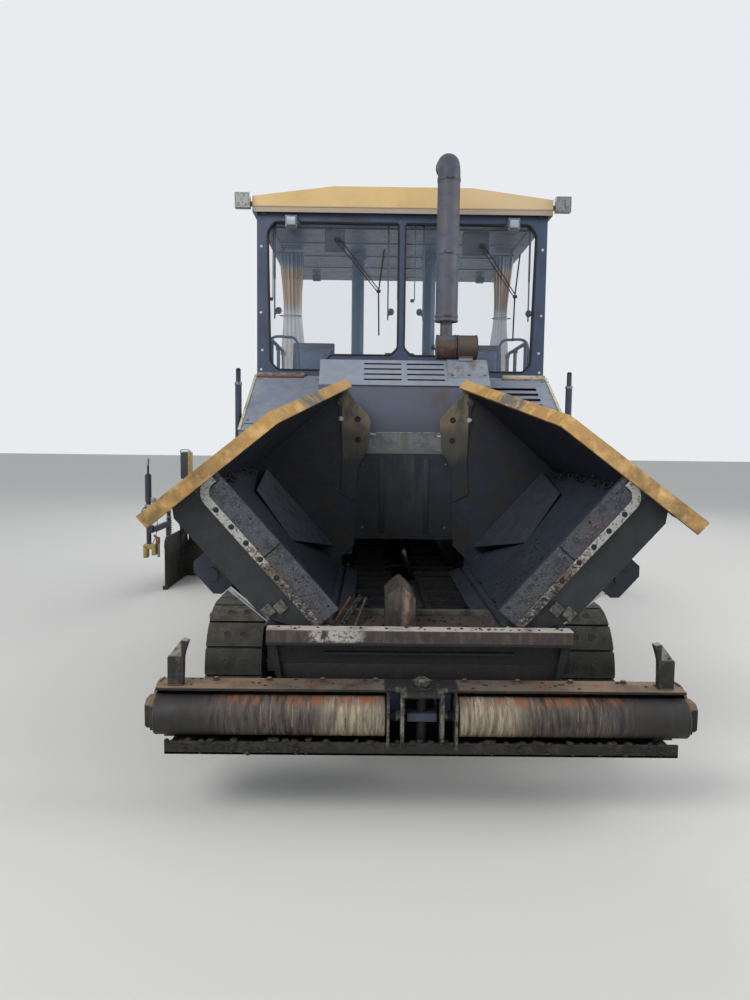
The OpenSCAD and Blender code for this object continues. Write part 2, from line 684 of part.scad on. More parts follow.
// Sloping side hoods and the body's side walls with the service door openings
module hood_sides() {
  t = sheet_t;
  color("#8d8da6") place() both() difference() {
    union() {
      // sloping hood
      side_plate(bonnet_half, body_half, [[back_y + 12, back_top], [side_low_y, back_top],
        [shield_y, side_top], [shield_y, side_top - t], [side_low_y + 4, back_top - t],
        [back_y + 12, back_top - t]]);
      // side wall
      side_plate(body_half - t, body_half, [[back_y + 12, body_low], [back_y + 12, back_top],
        [side_low_y, back_top], [shield_y, side_top], [3055, side_top], [3055, floor_z - 14],
        [body_rear, floor_z - 14], [body_rear, body_low]]);
      block(480, body_half, body_rear - t, body_rear, body_low, floor_z - 14);
      // hinge of the service door
      for (z = [door_z0 + 40, door_z1 - 69]) {
        block(body_half, body_half + hinge_out + 10, door_y0 - 24, door_y0 - 2, z, z + 28.6);
        block(body_half + 2, body_half + hinge_out + 10, door_y0 - 2, door_y0 + 16, z, z + 28.6);
        bar_z(z, z + 28.6, body_half + hinge_out, door_y0 + 16, 10);
      }
      bar_z(door_z0 + 50, door_z1 - 50, body_half + hinge_out, door_y0 + 16, 7);
    }
    block(body_half - 20, body_half, door_y0, door_y1, door_z0, door_z1);
    for (i = [0 : 3]) block(700, 1100, side_low_y + 330 + i * 70, side_low_y + 420 + i * 70,
      back_top + 322 + i * 66, back_top + 332 + i * 66);
  }
}
module side_door(s) {
  t = sheet_t;
  color("#c9952f") place() mirror([s < 0 ? 1 : 0, 0, 0]) {
    block(body_half - t, body_half, door_y0 + 6, door_y1 - 6, door_z0 + 6, door_z1 - 6);
    block(body_half, body_half + 12, door_y1 - 90, door_y1 - 60, 1230, 1290);
    difference() {
      union() {
        bar_z(door_z0 + 70, door_z1 - 70, body_half + hinge_out, door_y0 + 16, 12);
        block(body_half - 1, body_half + hinge_out, door_y0 + 16, door_y0 + 60, door_z0 + 70,
          door_z1 - 70);
      }
      bar_z(door_z0, door_z1, body_half + hinge_out, door_y0 + 16, 7 + run_gap);
    }
  }
}

// Platform: floor, low walls, rails and the step at the rear
module platform() {
  color("#3a4152") place() {
    block(-body_half, body_half, 3055, body_rear, floor_z - 14, floor_z);
    both() {
      block(body_half - 30, body_half, 3100, body_rear - 20, floor_z, floor_z + 90);
      for (y = [3420, 3900, 4300]) bar_z(floor_z, floor_z + 960, body_half - 60, y, 17);
      bar_y(3420, 4300, body_half - 60, floor_z + 960, 17);
      bar_y(3420, 4300, body_half - 60, floor_z + 560, 14);
    }
    block(-400, 400, 4380, 4396, 1050, floor_z);
  }
}
module console() {
  color("#3b3f46") place() {
    side_plate(-520, 520, [[3060, floor_z], [3060, 2280], [3200, 2310], [3420, 2210],
      [3420, 2160], [3220, 2120], [3220, floor_z]]);
    block(-60, 60, 3420, 3700, floor_z, 2120);
  }
}
module seat(x) {
  color("#3d4a5e") place() {
    bar_z(floor_z, 2010, x, 3890, 60);
    block(x - 230, x + 230, 3640, 4060, 2010, 2130);
    block(x - 205, x + 205, 4000, 4100, 2130, 2680);
    both_arms(x);
  }
}
module both_arms(x) {
  for (s = [-1, 1]) block(x + s * 245 - 28, x + s * 245 + 28, 3700, 4040, 2250, 2290);
  for (s = [-1, 1]) block(x + s * 245 - 16, x + s * 245 + 16, 4000, 4040, 2080, 2250);
  block(x - 261, x + 261, 4006, 4036, 2050, 2080);
}

// Windshield: two panes in one frame under the roof
PANE = [[28, 3520], [28, 2500], [88, 2440], [590, 2440], [680, 2312], [1030, 2312],
  [1096, 2380], [1118, 3440], [1060, 3520]]; // x, z of one pane's corners
module windshield_frame() {
  color("#2b3444") place() {
    difference() {
      front_plate(shield_y, shield_y + 50, [[-shield_half, side_top], [shield_half, side_top],
        [shield_half, roof_low], [-shield_half, roof_low]]);
      both() front_plate(shield_y - 1, shield_y + 51, PANE);
    }
    both() block(shield_half - 75, shield_half - 15, shield_y + 50, shield_y + 110, floor_z,
      roof_low);
  }
}
module windshield_glass() {
  color("#9fb4c4") place() both()
    front_plate(shield_y + 50, shield_y + 56, [[10, 3540], [10, 2420], [600, 2420],
      [660, 2296], [shield_half - 77, 2296], [shield_half - 77, 3540]]);
}

// Roof: a skin with a raised middle, open below, on the windshield and two rear columns
module roof_outline(d) {
  polygon([[-roof_half + d, roof_low - 1 + (d > 0 ? 0 : 1)], [-roof_half + d, roof_side - d],
    [-crown_half, roof_top - d], [crown_half, roof_top - d], [roof_half - d, roof_side - d],
    [roof_half - d, roof_low - 1 + (d > 0 ? 0 : 1)]]);
}
module roof() {
  color("#d0a23c") place() {
    difference() {
      translate([0, roof_y1, 0]) rotate([90, 0, 0]) linear_extrude(roof_y1 - roof_y0)
        roof_outline(0);
      translate([0, roof_y1 - roof_t, 0]) rotate([90, 0, 0])
        linear_extrude(roof_y1 - roof_y0 - 2 * roof_t) roof_outline(roof_t);
    }
    difference() {
      block(-roof_half + roof_t, roof_half - roof_t, roof_y0 + roof_t, roof_y1 - roof_t,
        roof_low, roof_low + 10);
      for (y = [4900, 5300]) block(-500, 500, y, y + 60, roof_low - 1, roof_low + 11);
    }
  }
}
module roof_columns() {
  color("#2b3444") place() for (x = [-388, 330]) {
    bar_z(floor_z, roof_low, x, column_y - 64, column_r);
    bar_z(roof_low - 60, roof_low - 12, x, column_y - 64, column_r + 22);
  }
}
module lamps() {
  color("#c8ccd0") place() both() {
    block(1248, 1372, 2890, 2950, roof_low + 20, roof_low + 140);
    block(1235, 1300, 2950, 2980, roof_low + 50, roof_low + 80);
    block(870, 965, 2930, shield_y, 3470, 3560);
  }
}
module curtains() {
  color("#c9c3a4") place() {
    for (s = [-1, 1]) for (i = [0 : 3])
      bar_z(2300, roof_low, s * (body_half - 111 - i * 42), 4180 + (i % 2) * 28, 26);
  }
}

// Screed: tow arms, main screed between them, extensions behind with end gates
module tow_arms() {
  color("#33302c") place() both() {
    difference() {
      union() {
        side_plate(arm_out - 30, arm_out, [[tow_y - 85, 400], [tow_y - 85, 540],
          [tow_y + 120, 590], [4300, 640], [5300, 700], [5560, 700], [5560, 420], [5100, 380],
          [4300, 400], [tow_y, 385]]);
      }
      bar_x(arm_out - 31, arm_out + 1, tow_y, tow_z, 28 + run_gap);
      block(arm_out - 31, arm_out + 1, tow_y - 60, tow_y + 60, 530, 610);
    }
  }
}
module screed() {
  t = 14;
  guides = [[5690, 640], [5690, 470]]; // y, z of the left and the right guide tube
  color("#33302c") place() {
    block(-screed_half, screed_half, screed_y0, screed_y1, screed_low, screed_low + 30);
    block(-screed_half, screed_half, screed_y0, screed_y0 + t, screed_low + 30, screed_top);
    block(-screed_half, screed_half, screed_y1 - t, screed_y1, screed_low + 30, screed_top);
    block(-screed_half, screed_half, screed_y0, screed_y1, screed_top, screed_top + t);
    both() {
      block(screed_half - t, screed_half, screed_y0 + t, screed_y1 - t, screed_low + 30,
        screed_top);
      block(screed_half, arm_out - 30, 5150, 5500, 430, 510);
      for (x = [560, screed_half - 40]) difference() {
        block(x, x + 30, screed_y1, 5790, 360, 740);
        for (g = guides) bar_x(x - 1, x + 31, g[0], g[1], guide_r + run_gap);
      }
      for (x = [lift_x - 46, lift_x + 32]) side_plate(x, x + 14, [[5080, screed_top + t],
        [5100, lift_eye_z + 10], [5130, lift_eye_z + 45], [5170, lift_eye_z + 45],
        [5200, lift_eye_z + 10], [5240, screed_top + t]]);
      for (x = [lift_x - 56, lift_x + 46]) bar_x(x, x + 10, lift_eye_y, lift_eye_z, 36);
      // walkway grating with its carriers
      block(40, screed_half, 5290, 5560, 742, 762);
      for (x = [80, 1140]) block(x, x + 40, 5300, 5550, screed_top + t, 742);
    }
  }
}
// Extension: x0 inner face, x1 outer face, both with the extension slid in
module ext_body(gz) {
  t = 14;
  block(ext_x0, ext_x1, ext_y0, ext_y1, screed_low, screed_low + 30);
  block(ext_x0, ext_x1, ext_y0, ext_y0 + t, screed_low + 30, 420);
  block(ext_x0, ext_x1, ext_y1 - t, ext_y1, screed_low + 30, 420);
  block(ext_x0, ext_x1, ext_y0, ext_y1, 420, 420 + t);
  block(ext_x0, ext_x0 + t, ext_y0 + t, ext_y1 - t, screed_low + 30, 420);
  block(ext_x1 - t, ext_x1, ext_y0 - 240, ext_y1, screed_low + 30, 420);
  block(ext_x1 - t, ext_x1, ext_y0 - 240, ext_y0 + 60, 420, 720);
  // guide tube, fixed at the outer end only
  bar_x(ext_x1 - 1994, ext_x1 - t, 5690, gz, guide_r);
  // walkway on posts
  block(ext_x0 + 20, ext_x1, ext_y0 + 20, ext_y1 + 20, 600, 620);
  for (x = [ext_x0 + 40, ext_x1 - 70]) block(x, x + 40, ext_y0 + 40, ext_y1 - 20, 434, 600);
}
module screed_ext(s) {
  color("#33302c") place() mirror([s < 0 ? 1 : 0, 0, 0]) translate([ext_out, 0, 0])
    ext_body(s < 0 ? 640 : 470);
}
module end_gate(s) {
  color("#33302c") place() mirror([s < 0 ? 1 : 0, 0, 0]) {
    side_plate(gate_x, gate_x + 22, [[gate_y0, 0], [gate_y0, 560], [gate_y0 + 60, gate_h],
      [5900, gate_h], [6000, 420], [gate_y1, 380], [gate_y1, 30], [gate_y1 - 60, 0]]);
    block(gate_x - 8, gate_x + 44, gate_y0 - 10, gate_y0 + 40, 0, 40);
    side_plate(gate_x + 22, gate_x + 84, [[5200, 440], [5200, 500], [5900, 500], [5900, 440]]);
    bar_z(500, 860, gate_x + 42, 5260, 22);
    bar_z(500, 860, gate_x + 42, 5840, 22);
  }
}
// Grade sensor post with its crank and yellow sensor, on the left end gate only
module grade_sensor() {
  color("#2b2f36") place() {
    block(-gate_x - 60, -gate_x - 22, 4690, 5236, 700, 760);
    block(-gate_x - 60, -gate_x - 22, 5200, 5236, 500, 700);
    block(-gate_x - 100, -gate_x - 60, 4670, 4730, 690, 770);
    bar_z(560, 1330, -gate_x - 108, 4700, 26);
    bar_z(1330, 1420, -gate_x - 108, 4700, 12);
    block(-gate_x - 160, -gate_x - 30, 4660, 4740, 520, 560);
    block(-gate_x - 160, -gate_x - 120, 4660, 4740, 420, 520);
    block(-gate_x - 70, -gate_x - 30, 4660, 4740, 450, 520);
  }
}
module auger(s) {
  color("#5b5148") place() mirror([s < 0 ? 1 : 0, 0, 0]) {
    bar_x(90 + run_gap, auger_out - 2 - run_gap, auger_y, auger_z, 44);
    for (i = [0 : 4]) translate([200 + i * 205, auger_y, auger_z]) rotate([0, 0, 12])
      rotate([0, 90, 0]) cylinder(h = 16, r = auger_r, center = true);
  }
}

// Lift cylinder of the screed, aimed from its upper pivot down to the lug
lift_l = sqrt(pow(lift_eye_y - lift_y, 2) + pow(lift_eye_z - lift_z, 2));
lift_a = atan2(lift_eye_z - lift_z, lift_eye_y - lift_y);
module along_lift(s) {
  place() translate([s * lift_x, lift_y, lift_z]) rotate([-90 + lift_a, 0, 0]) children();
}
module lift_barrel(s) {
  color("#c9952f") along_lift(s) difference() {
    union() {
      translate([0, 0, 50]) cylinder(h = 460, r = 38);
      translate([-26, 0, 0]) rotate([0, 90, 0]) cylinder(h = 52, r = 42);
      translate([-22, -22, 0]) cube([44, 44, 60]);
    }
    translate([-27, 0, 0]) rotate([0, 90, 0]) cylinder(h = 54, r = 24 + run_gap);
    translate([0, 0, 60]) cylinder(h = 500, r = 20 + run_gap);
  }
}
module lift_rod(s) {
  color("#b9bcc0") along_lift(s) difference() {
    union() {
      translate([0, 0, 400]) cylinder(h = lift_l - 420, r = 20);
      translate([-26, 0, lift_l]) rotate([0, 90, 0]) cylinder(h = 52, r = 34);
    }
    translate([-27, 0, lift_l]) rotate([0, 90, 0]) cylinder(h = 54, r = 20);
  }
}

chassis();
track_frame(-1);  // track_frame_left
track_frame(1);  // track_frame_right
track(-1);  // track_left
track(1);  // track_right
hopper();
conveyors();
bonnet();
hood_sides();
engine_block();
exhaust_stack();
side_door(-1);  // side_door_left
side_door(1);  // side_door_right
platform();
console();
seat(-815);  // seat_left
seat(835);  // seat_right
windshield_frame();
windshield_glass();
roof();
roof_columns();
lamps();
curtains();
push_beam();
roller(-roller_out, -roller_in);  // push_roller_left
roller(roller_in, roller_out);  // push_roller_right
wing(-1);  // wing_left
wing(1);  // wing_right
wing_barrel(-1);  // wing_barrel_left
wing_barrel(1);  // wing_barrel_right
wing_rod(-1);  // wing_rod_left
wing_rod(1);  // wing_rod_right
tow_arms();
screed();
screed_ext(-1);  // screed_ext_left
screed_ext(1);  // screed_ext_right
end_gate(-1);  // end_gate_left
end_gate(1);  // end_gate_right
grade_sensor();
auger(-1);  // auger_left
auger(1);  // auger_right
lift_barrel(-1);  // lift_barrel_left
lift_barrel(1);  // lift_barrel_right
lift_rod(-1);  // lift_rod_left
lift_rod(1);  // lift_rod_right
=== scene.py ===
# Tracked asphalt paver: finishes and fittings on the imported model, in metres, Z up, front at -Y.
# Places along Y are counted back from the push roller axis, as in the CAD, and at() sets that axis.
import math
import random

import bmesh
import bpy
from mathutils import Matrix, Vector, noise


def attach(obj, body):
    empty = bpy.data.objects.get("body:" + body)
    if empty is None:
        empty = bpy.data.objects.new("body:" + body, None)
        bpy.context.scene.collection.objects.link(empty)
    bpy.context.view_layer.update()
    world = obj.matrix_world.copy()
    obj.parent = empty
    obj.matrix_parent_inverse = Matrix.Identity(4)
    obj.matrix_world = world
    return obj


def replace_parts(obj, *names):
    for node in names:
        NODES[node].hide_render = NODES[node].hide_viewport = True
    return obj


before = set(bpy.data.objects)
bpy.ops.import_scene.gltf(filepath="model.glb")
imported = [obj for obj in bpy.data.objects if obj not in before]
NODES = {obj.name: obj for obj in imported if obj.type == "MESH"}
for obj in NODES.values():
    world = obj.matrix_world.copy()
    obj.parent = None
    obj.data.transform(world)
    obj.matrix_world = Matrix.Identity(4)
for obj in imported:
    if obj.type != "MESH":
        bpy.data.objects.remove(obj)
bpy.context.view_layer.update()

ROLLER_Y = -3.1
FOLD = math.radians(48.3)
HINGE_X, HINGE_Z = 0.45, 0.8


def at(x, y, z):
    return Vector((x, y + ROLLER_Y, z))


# ---------------------------------------------------------------- materials
def colour(hex_value):
    """An sRGB hex value as linear light."""
    parts = [int(hex_value[i : i + 2], 16) / 255 for i in (1, 3, 5)]
    return tuple(c / 12.92 if c <= 0.04045 else ((c + 0.055) / 1.055) ** 2.4 for c in parts) + (1.0,)


def add(tree, kind, links=None, **settings):
    """One node; links are {input name or number: socket or value}."""
    node = tree.nodes.new(kind)
    for key, value in settings.items():
        setattr(node, key, value)
    for key, value in (links or {}).items():
        if isinstance(value, bpy.types.NodeSocket):
            tree.links.new(value, node.inputs[key])
        else:
            node.inputs[key].default_value = value
    return node


def start_material(name, roughness, metallic=0.0, **shader):
    material = bpy.data.materials.new(name)
    material.use_nodes = True
    tree = material.node_tree
    surface = tree.nodes["Principled BSDF"]
    surface.inputs["Roughness"].default_value = roughness
    surface.inputs["Metallic"].default_value = metallic
    for key, value in shader.items():
        surface.inputs[key].default_value = value
    place = add(tree, "ShaderNodeTexCoord")
    return material, tree, surface, place.outputs["Object"], place.outputs["Normal"]


def spread(tree, place, size_mm, low, high, stretch=(1, 1, 1), detail=6.0):
    """Soft-edged patches about size_mm across, as 0 to 1."""
    scaled = add(tree, "ShaderNodeMapping", {"Vector": place, "Scale": stretch})
    cloud = add(tree, "ShaderNodeTexNoise", {"Vector": scaled.outputs[0], "Scale": 1000.0 / size_mm, "Detail": detail,
                                             "Roughness": 0.62})
    ramp = add(tree, "ShaderNodeMapRange", {"Value": cloud.outputs["Fac"], "From Min": low, "From Max": high})
    return ramp.outputs[0]


def worn_edges(tree, radius_mm):
    """1 where an edge is rounded off, from the bevel's turned normal."""
    rounded = add(tree, "ShaderNodeBevel", {"Radius": radius_mm / 1000.0}, samples=4)
    facing = add(tree, "ShaderNodeNewGeometry")
    same = add(tree, "ShaderNodeVectorMath", {0: rounded.outputs[0], 1: facing.outputs["Normal"]},
               operation="DOT_PRODUCT")
    ramp = add(tree, "ShaderNodeMapRange", {"Value": same.outputs["Value"], "From Min": 0.98, "From Max": 0.7})
    return ramp.outputs[0]


def times(tree, a, b):
    return add(tree, "ShaderNodeMath", {0: a, 1: b}, operation="MULTIPLY", use_clamp=True).outputs[0]


def over(tree, below, above, amount):
    """Colour above laid on colour below."""
    mixed = add(tree, "ShaderNodeMix", {0: amount, 6: below, 7: above}, data_type="RGBA")
    return mixed.outputs[2]


def between(tree, value, low, high, soft):
    """1 where a value lies between two limits, with soft ends."""
    rise = add(tree, "ShaderNodeMapRange", {"Value": value, "From Min": low - soft, "From Max": low + soft})
    fall = add(tree, "ShaderNodeMapRange", {"Value": value, "From Min": high + soft, "From Max": high - soft})
    return times(tree, rise.outputs[0], fall.outputs[0])


def zone(tree, place, axis, low, high, soft):
    """1 between two places along an axis of the machine, in metres."""
    split = add(tree, "ShaderNodeSeparateXYZ", {0: place})
    return between(tree, split.outputs[axis], low, high, soft)


def outward(tree, place):
    """How far a place lies to either side of the machine's middle."""
    split = add(tree, "ShaderNodeSeparateXYZ", {0: place})
    return add(tree, "ShaderNodeMath", {0: split.outputs[0]}, operation="ABSOLUTE").outputs[0]


def upward(tree, normal):
    """How far a face looks up, 0 to 1."""
    split = add(tree, "ShaderNodeSeparateXYZ", {0: normal})
    return add(tree, "ShaderNodeMapRange", {"Value": split.outputs[2], "From Min": 0.15, "From Max": 0.95}).outputs[0]


def relief(tree, surface, height, depth_mm):
    """A bump of that depth from a 0 to 1 height."""
    bump = add(tree, "ShaderNodeBump", {"Height": height, "Distance": depth_mm / 1000.0, "Strength": 1.0})
    tree.links.new(bump.outputs[0], surface.inputs["Normal"])


def weathered(name, base, layers, roughness=0.55, metallic=0.0, grain_mm=4.0, depth_mm=0.25, **shader):
    """A sprayed or bare surface under layers of dirt and wear, in places also painted light and shade, each (colour,
    mask function).
    """
    material, tree, surface, place, normal = start_material(name, roughness, metallic, **shader)
    # broad clouds, 12 per cent darker
    cloud = spread(tree, place, 420, 0.35, 0.65)
    dark = tuple(c * 0.88 for c in colour(base)[:3]) + (1.0,)
    shade = over(tree, colour(base), dark, cloud)
    for tone, mask in layers:
        shade = over(tree, shade, colour(tone), mask(tree, place, normal))
    tree.links.new(shade, surface.inputs["Base Color"])
    grain = spread(tree, place, grain_mm, 0.3, 0.7, detail=3.0)
    relief(tree, surface, grain, depth_mm)
    rough = add(tree, "ShaderNodeMapRange", {"Value": spread(tree, place, 90, 0.3, 0.7), "To Min": roughness - 0.08,
                                             "To Max": min(1.0, roughness + 0.12)})
    tree.links.new(rough.outputs[0], surface.inputs["Roughness"])
    return material


def patches(size_mm, low, high, stretch=(1, 1, 1)):
    return lambda tree, place, normal: spread(tree, place, size_mm, low, high, stretch)


def chips(radius_mm, size_mm, low=0.4, high=0.6):
    """Paint knocked off along edges."""
    def mask(tree, place, normal):
        return times(tree, worn_edges(tree, radius_mm), spread(tree, place, size_mm, low, high))
    return mask


def settled(size_mm, low, high):
    """Dust that lies on what looks up."""
    def mask(tree, place, normal):
        return times(tree, upward(tree, normal), spread(tree, place, size_mm, low, high))
    return mask


def broken_up(tree, place, area, size_mm, cut, stretch=(1, 1, 1)):
    """An area cut up by patches, where their size is given."""
    return times(tree, area, spread(tree, place, size_mm, *cut, stretch)) if size_mm else area


def within(axis, low, high, soft=0.02, size_mm=None, cut=(0.4, 0.6), stretch=(1, 1, 1)):
    """A stain between two places along an axis."""
    def mask(tree, place, normal):
        return broken_up(tree, place, zone(tree, place, axis, low, high, soft), size_mm, cut, stretch)
    return mask


def across(low, high, soft, size_mm=None, cut=(0.4, 0.6), stretch=(1, 1, 1)):
    """A stain at a distance from the machine's middle, alike on both sides."""
    def mask(tree, place, normal):
        return broken_up(tree, place, between(tree, outward(tree, place), low, high, soft), size_mm, cut, stretch)
    return mask


def where(*masks):
    """Only where all the masks meet."""
    def mask(tree, place, normal):
        area = masks[0](tree, place, normal)
        for other in masks[1:]:
            area = times(tree, area, other(tree, place, normal))
        return area
    return mask


def underneath(tree, place, normal):
    """What looks down."""
    split = add(tree, "ShaderNodeSeparateXYZ", {0: normal})
    return add(tree, "ShaderNodeMapRange", {"Value": split.outputs[2], "From Min": -0.5, "From Max": -0.8}).outputs[0]


def depth_back(low, high, soft=0.004):
    """Between two places counted back from the roller axis."""
    return within(1, low + ROLLER_Y, high + ROLLER_Y, soft)


# Areas that several layers share: hooks on the beam, bonnet's upright face, exhaust's fixed drum
BEAM_HOOKS = where(across(1.04, 1.17, 0.004), within(2, 0.609, 0.83, 0.003))
BONNET_FACE = depth_back(2.1, 2.1525)
DRUM_DEPTH = depth_back(2.19, 2.6)
DRUM_HEIGHT = (2, 2.2, 2.492, 0.006)
# ... and in the hopper the floor plates, the deflector cap, the apron strip and the wings' rear plates
FLOOR_PLATES = where(depth_back(0.236, 0.642), within(2, 0.770, 0.7915, 0.002))
DEFLECTOR_CAP = where(depth_back(0.32, 0.65), within(2, 0.795, 1.03))
STRIP_DEPTH = depth_back(0.15, 0.2395, 0.001)
APRON_STRIP = where(STRIP_DEPTH, within(2, 0.770, 0.84, 0.003))
REAR_PLATES = depth_back(1.97, 2.01, 0.002)
INNER_PLATES = where(REAR_PLATES, across(0.0, 0.447, 0.002))

# Sprayed two-pack enamel, weathered matt: dark slate blue under a film of road dirt
ROAD_DIRT = [("#1d2129", patches(260, 0.46, 0.66)), ("#4c4a47", settled(60, 0.35, 0.7)),
             ("#5b4031", chips(9, 30, 0.5, 0.62))]
slate_enamel = weathered("slate_enamel", "#323c4e", ROAD_DIRT, roughness=0.5)
# The cab posts' enamel is cleaner and a little lighter
cab_enamel = weathered("cab_enamel", "#3b4862", [
    ("#2c3442", patches(300, 0.5, 0.7)), ("#8a8f98", settled(40, 0.45, 0.7)),
    ("#5d6470", chips(6, 25, 0.5, 0.65))], roughness=0.42)
# Hopper steel under a film of bitumen: nearly black, with a dull blue where the paint still shows
bitumen_film = weathered("bitumen_film", "#262e3d", [
    ("#16191f", patches(340, 0.42, 0.6)), ("#3a3d42", patches(28, 0.6, 0.72)),
    ("#4a3a30", patches(150, 0.62, 0.74, (1, 1, 0.35))), ("#55504a", chips(8, 22, 0.42, 0.6))],
    roughness=0.62, grain_mm=9, depth_mm=0.8)
# Steel blackened by bitumen from the mix, brown with rust near the front
mix_black_steel = weathered("mix_black_steel", "#151413", [
    ("#26201c", patches(70, 0.5, 0.66)), ("#3a2c24", where(within(1, -3.1, -2.3), patches(60, 0.5, 0.64))),
    ("#4b4641", chips(6, 40, 0.5, 0.66))], roughness=0.62, metallic=0.2, grain_mm=6, depth_mm=0.9)
# Bare steel scraped by the mix, with brown rust and pale scale
scraped_steel = weathered("scraped_steel", "#554b44", [
    ("#2c2725", patches(70, 0.5, 0.66)), ("#7a5137", patches(120, 0.54, 0.7)),
    ("#b3aca4", patches(14, 0.6, 0.68)), ("#a59d94", chips(10, 30, 0.35, 0.55))],
    roughness=0.58, metallic=0.35, grain_mm=5, depth_mm=0.7)
# Signal yellow enamel, faded to tan by the sun
faded_yellow = weathered("faded_yellow", "#d9b77c", [
    ("#c7a76f", patches(300, 0.48, 0.7)), ("#a8906c", settled(50, 0.5, 0.8)),
    ("#6d6456", patches(30, 0.68, 0.8, (1, 1, 0.3)))], roughness=0.4)
# The same on the roof: paler at the left, the rim's lower strip dusty grey-tan, dark slate on every face that looks
# down, as the ceiling's colour and as painted shade under the roof
roof_enamel = weathered("roof_enamel", "#d9b77c", [
    ("#c7a76f", patches(300, 0.48, 0.7)), ("#cdb593", within(0, 0.6, 1.3, 0.5)),
    ("#a8906c", settled(50, 0.5, 0.8)), ("#a5937f", within(2, 3.5, 3.634, 0.003)),
    # dark slate wherever a face looks down: the ceiling's colour, and painted shade under the roof
    ("#6d6456", patches(30, 0.68, 0.8, (1, 1, 0.3))), ("#1f2b40", underneath)], roughness=0.4)
# Violet-grey hood enamel, sun-faded
hood_enamel = weathered("hood_enamel", "#7c8494", [
    ("#6e7685", patches(350, 0.45, 0.7)), ("#8b8d92", settled(70, 0.42, 0.75)),
    ("#5a5750", patches(80, 0.66, 0.8, (1, 1, 0.25)))], roughness=0.45)
# The bonnet's upright face is bluer and darker, with painted shade towards its foot above and behind the kick plate,
# browned by soot beside the exhaust
bonnet_enamel = weathered("bonnet_enamel", "#868e9a", [
    ("#747b88", patches(350, 0.45, 0.7)), ("#9b9a96", settled(70, 0.5, 0.8)),
    ("#4d5567", where(BONNET_FACE, within(2, 1.5, 2.131, 0.004))),
    # painted shade: the bonnet face darker towards its foot, where the kick plate stands before it
    ("#474b55", where(BONNET_FACE, within(2, 1.5, 1.86, 0.10))),
    ("#5b4e48", where(BONNET_FACE, within(0, 0.12, 0.62, 0.12, 160, (0.4, 0.62)), within(2, 1.96, 2.14, 0.06))),
    ("#4a3d34", where(DRUM_DEPTH, within(0, 0.28, 0.62, 0.02), within(2, 2.352, 2.60, 0.004))),
    ("#6b625c", where(DRUM_DEPTH, within(0, 0.30, 0.62, 0.02, 60, (0.45, 0.65)), within(2, 2.20, 2.352, 0.02)))],
    roughness=0.45)
# Track shoes: cast steel under pale dust
dusty_cast_steel = weathered("dusty_cast_steel", "#2c2c29", [
    ("#211f1c", patches(90, 0.45, 0.62)), ("#5f5c51", settled(45, 0.3, 0.62)),
    ("#6f6d63", chips(7, 18, 0.38, 0.62))], roughness=0.78, metallic=0.2, grain_mm=6, depth_mm=0.9)
# Rollers: rolled steel tube, tan and rust streaks round the inner half, a cream band, dark outside
roller_steel = weathered("roller_steel", "#2a2725", [
    ("#232120", patches(36, 0.44, 0.6, (2.4, 0.3, 0.3))),
    ("#544b43", across(0.14, 0.92, 0.10, 40, (0.40, 0.62), (2.2, 0.3, 0.3))),
    ("#7a6459", across(0.14, 0.86, 0.06, 26, (0.56, 0.68), (2.8, 0.25, 0.25))),
    ("#72675a", across(0.14, 0.46, 0.05, 60, (0.30, 0.5), (2.2, 0.3, 0.3))),
    ("#a09177", across(0.14, 0.42, 0.04, 40, (0.44, 0.6), (2.6, 0.3, 0.3))),
    ("#3a2b25", across(0.14, 0.60, 0.04, 22, (0.58, 0.66), (2.8, 0.25, 0.25))),
    ("#7d4f31", where(across(0.14, 0.9, 0.05, 60, (0.46, 0.6), (2.2, 0.3, 0.3)), within(2, 0.545, 0.6, 0.01))),
    ("#57544c", chips(10, 25, 0.35, 0.6))], roughness=0.6, metallic=0.15, grain_mm=7, depth_mm=0.6)
# Push beam plate: black from bitumen, rust and tan on top where trucks rub it, white paint left on the shaft webs
beam_steel = weathered("beam_steel", "#22221f", [
    ("#39322c", patches(120, 0.5, 0.66)), ("#5f564b", settled(150, 0.3, 0.56)),
    ("#7f6a52", where(settled(200, 0.3, 0.52), across(0.62, 1.3, 0.14))), ("#7c4626", settled(60, 0.54, 0.7)),
    ("#1b1a18", within(2, 0.30, 0.384, 0.002)), ("#35302b", within(2, 0.30, 0.384, 0.002, 45, (0.52, 0.66))),
    ("#1c1b1a", across(0.0, 0.17, 0.004)),
    ("#6f6a61", where(across(0.145, 0.163, 0.001), within(2, 0.36, 0.56), patches(30, 0.42, 0.6))),
    ("#7b776f", where(depth_back(-0.2, 0.03), across(0.07, 0.118, 0.002), within(2, 0.41, 0.60),
                      patches(36, 0.4, 0.56))),
    ("#262523", BEAM_HOOKS), ("#45423d", where(BEAM_HOOKS, patches(50, 0.5, 0.64))),
    ("#9a958c", where(across(1.05, 1.157, 0.004), within(2, 0.738, 0.83, 0.003), settled(30, 0.2, 0.4))),
    ("#8d8880", where(across(1.102, 1.17, 0.003), within(2, 0.742, 0.83, 0.004), patches(28, 0.38, 0.5))),
    ("#57534b", chips(9, 26, 0.4, 0.6))],
    roughness=0.68, metallic=0.2, grain_mm=8, depth_mm=1.0)
# Exhaust: mild steel dulled blue-grey by heat, browned in clouds
heat_browned_steel = weathered("heat_browned_steel", "#565b68", [
    ("#5d544e", patches(150, 0.46, 0.66, (1, 1, 0.5))),
    ("#3d404a", where(within(2, 3.62, 4.2, 0.12), patches(120, 0.3, 0.6))),
    ("#454956", patches(60, 0.52, 0.68)), ("#4b3d36", within(*DRUM_HEIGHT)),
    ("#6a4f40", within(*DRUM_HEIGHT, 50, (0.5, 0.66)))], roughness=0.6, metallic=0.25, grain_mm=5, depth_mm=0.4)
# The folding joint's drums run hotter and stay brown
burnt_steel = weathered("burnt_steel", "#46434a", [
    ("#5d4a3d", patches(60, 0.46, 0.64)), ("#33302f", patches(30, 0.55, 0.7))],
    roughness=0.65, metallic=0.3, grain_mm=4, depth_mm=0.4)
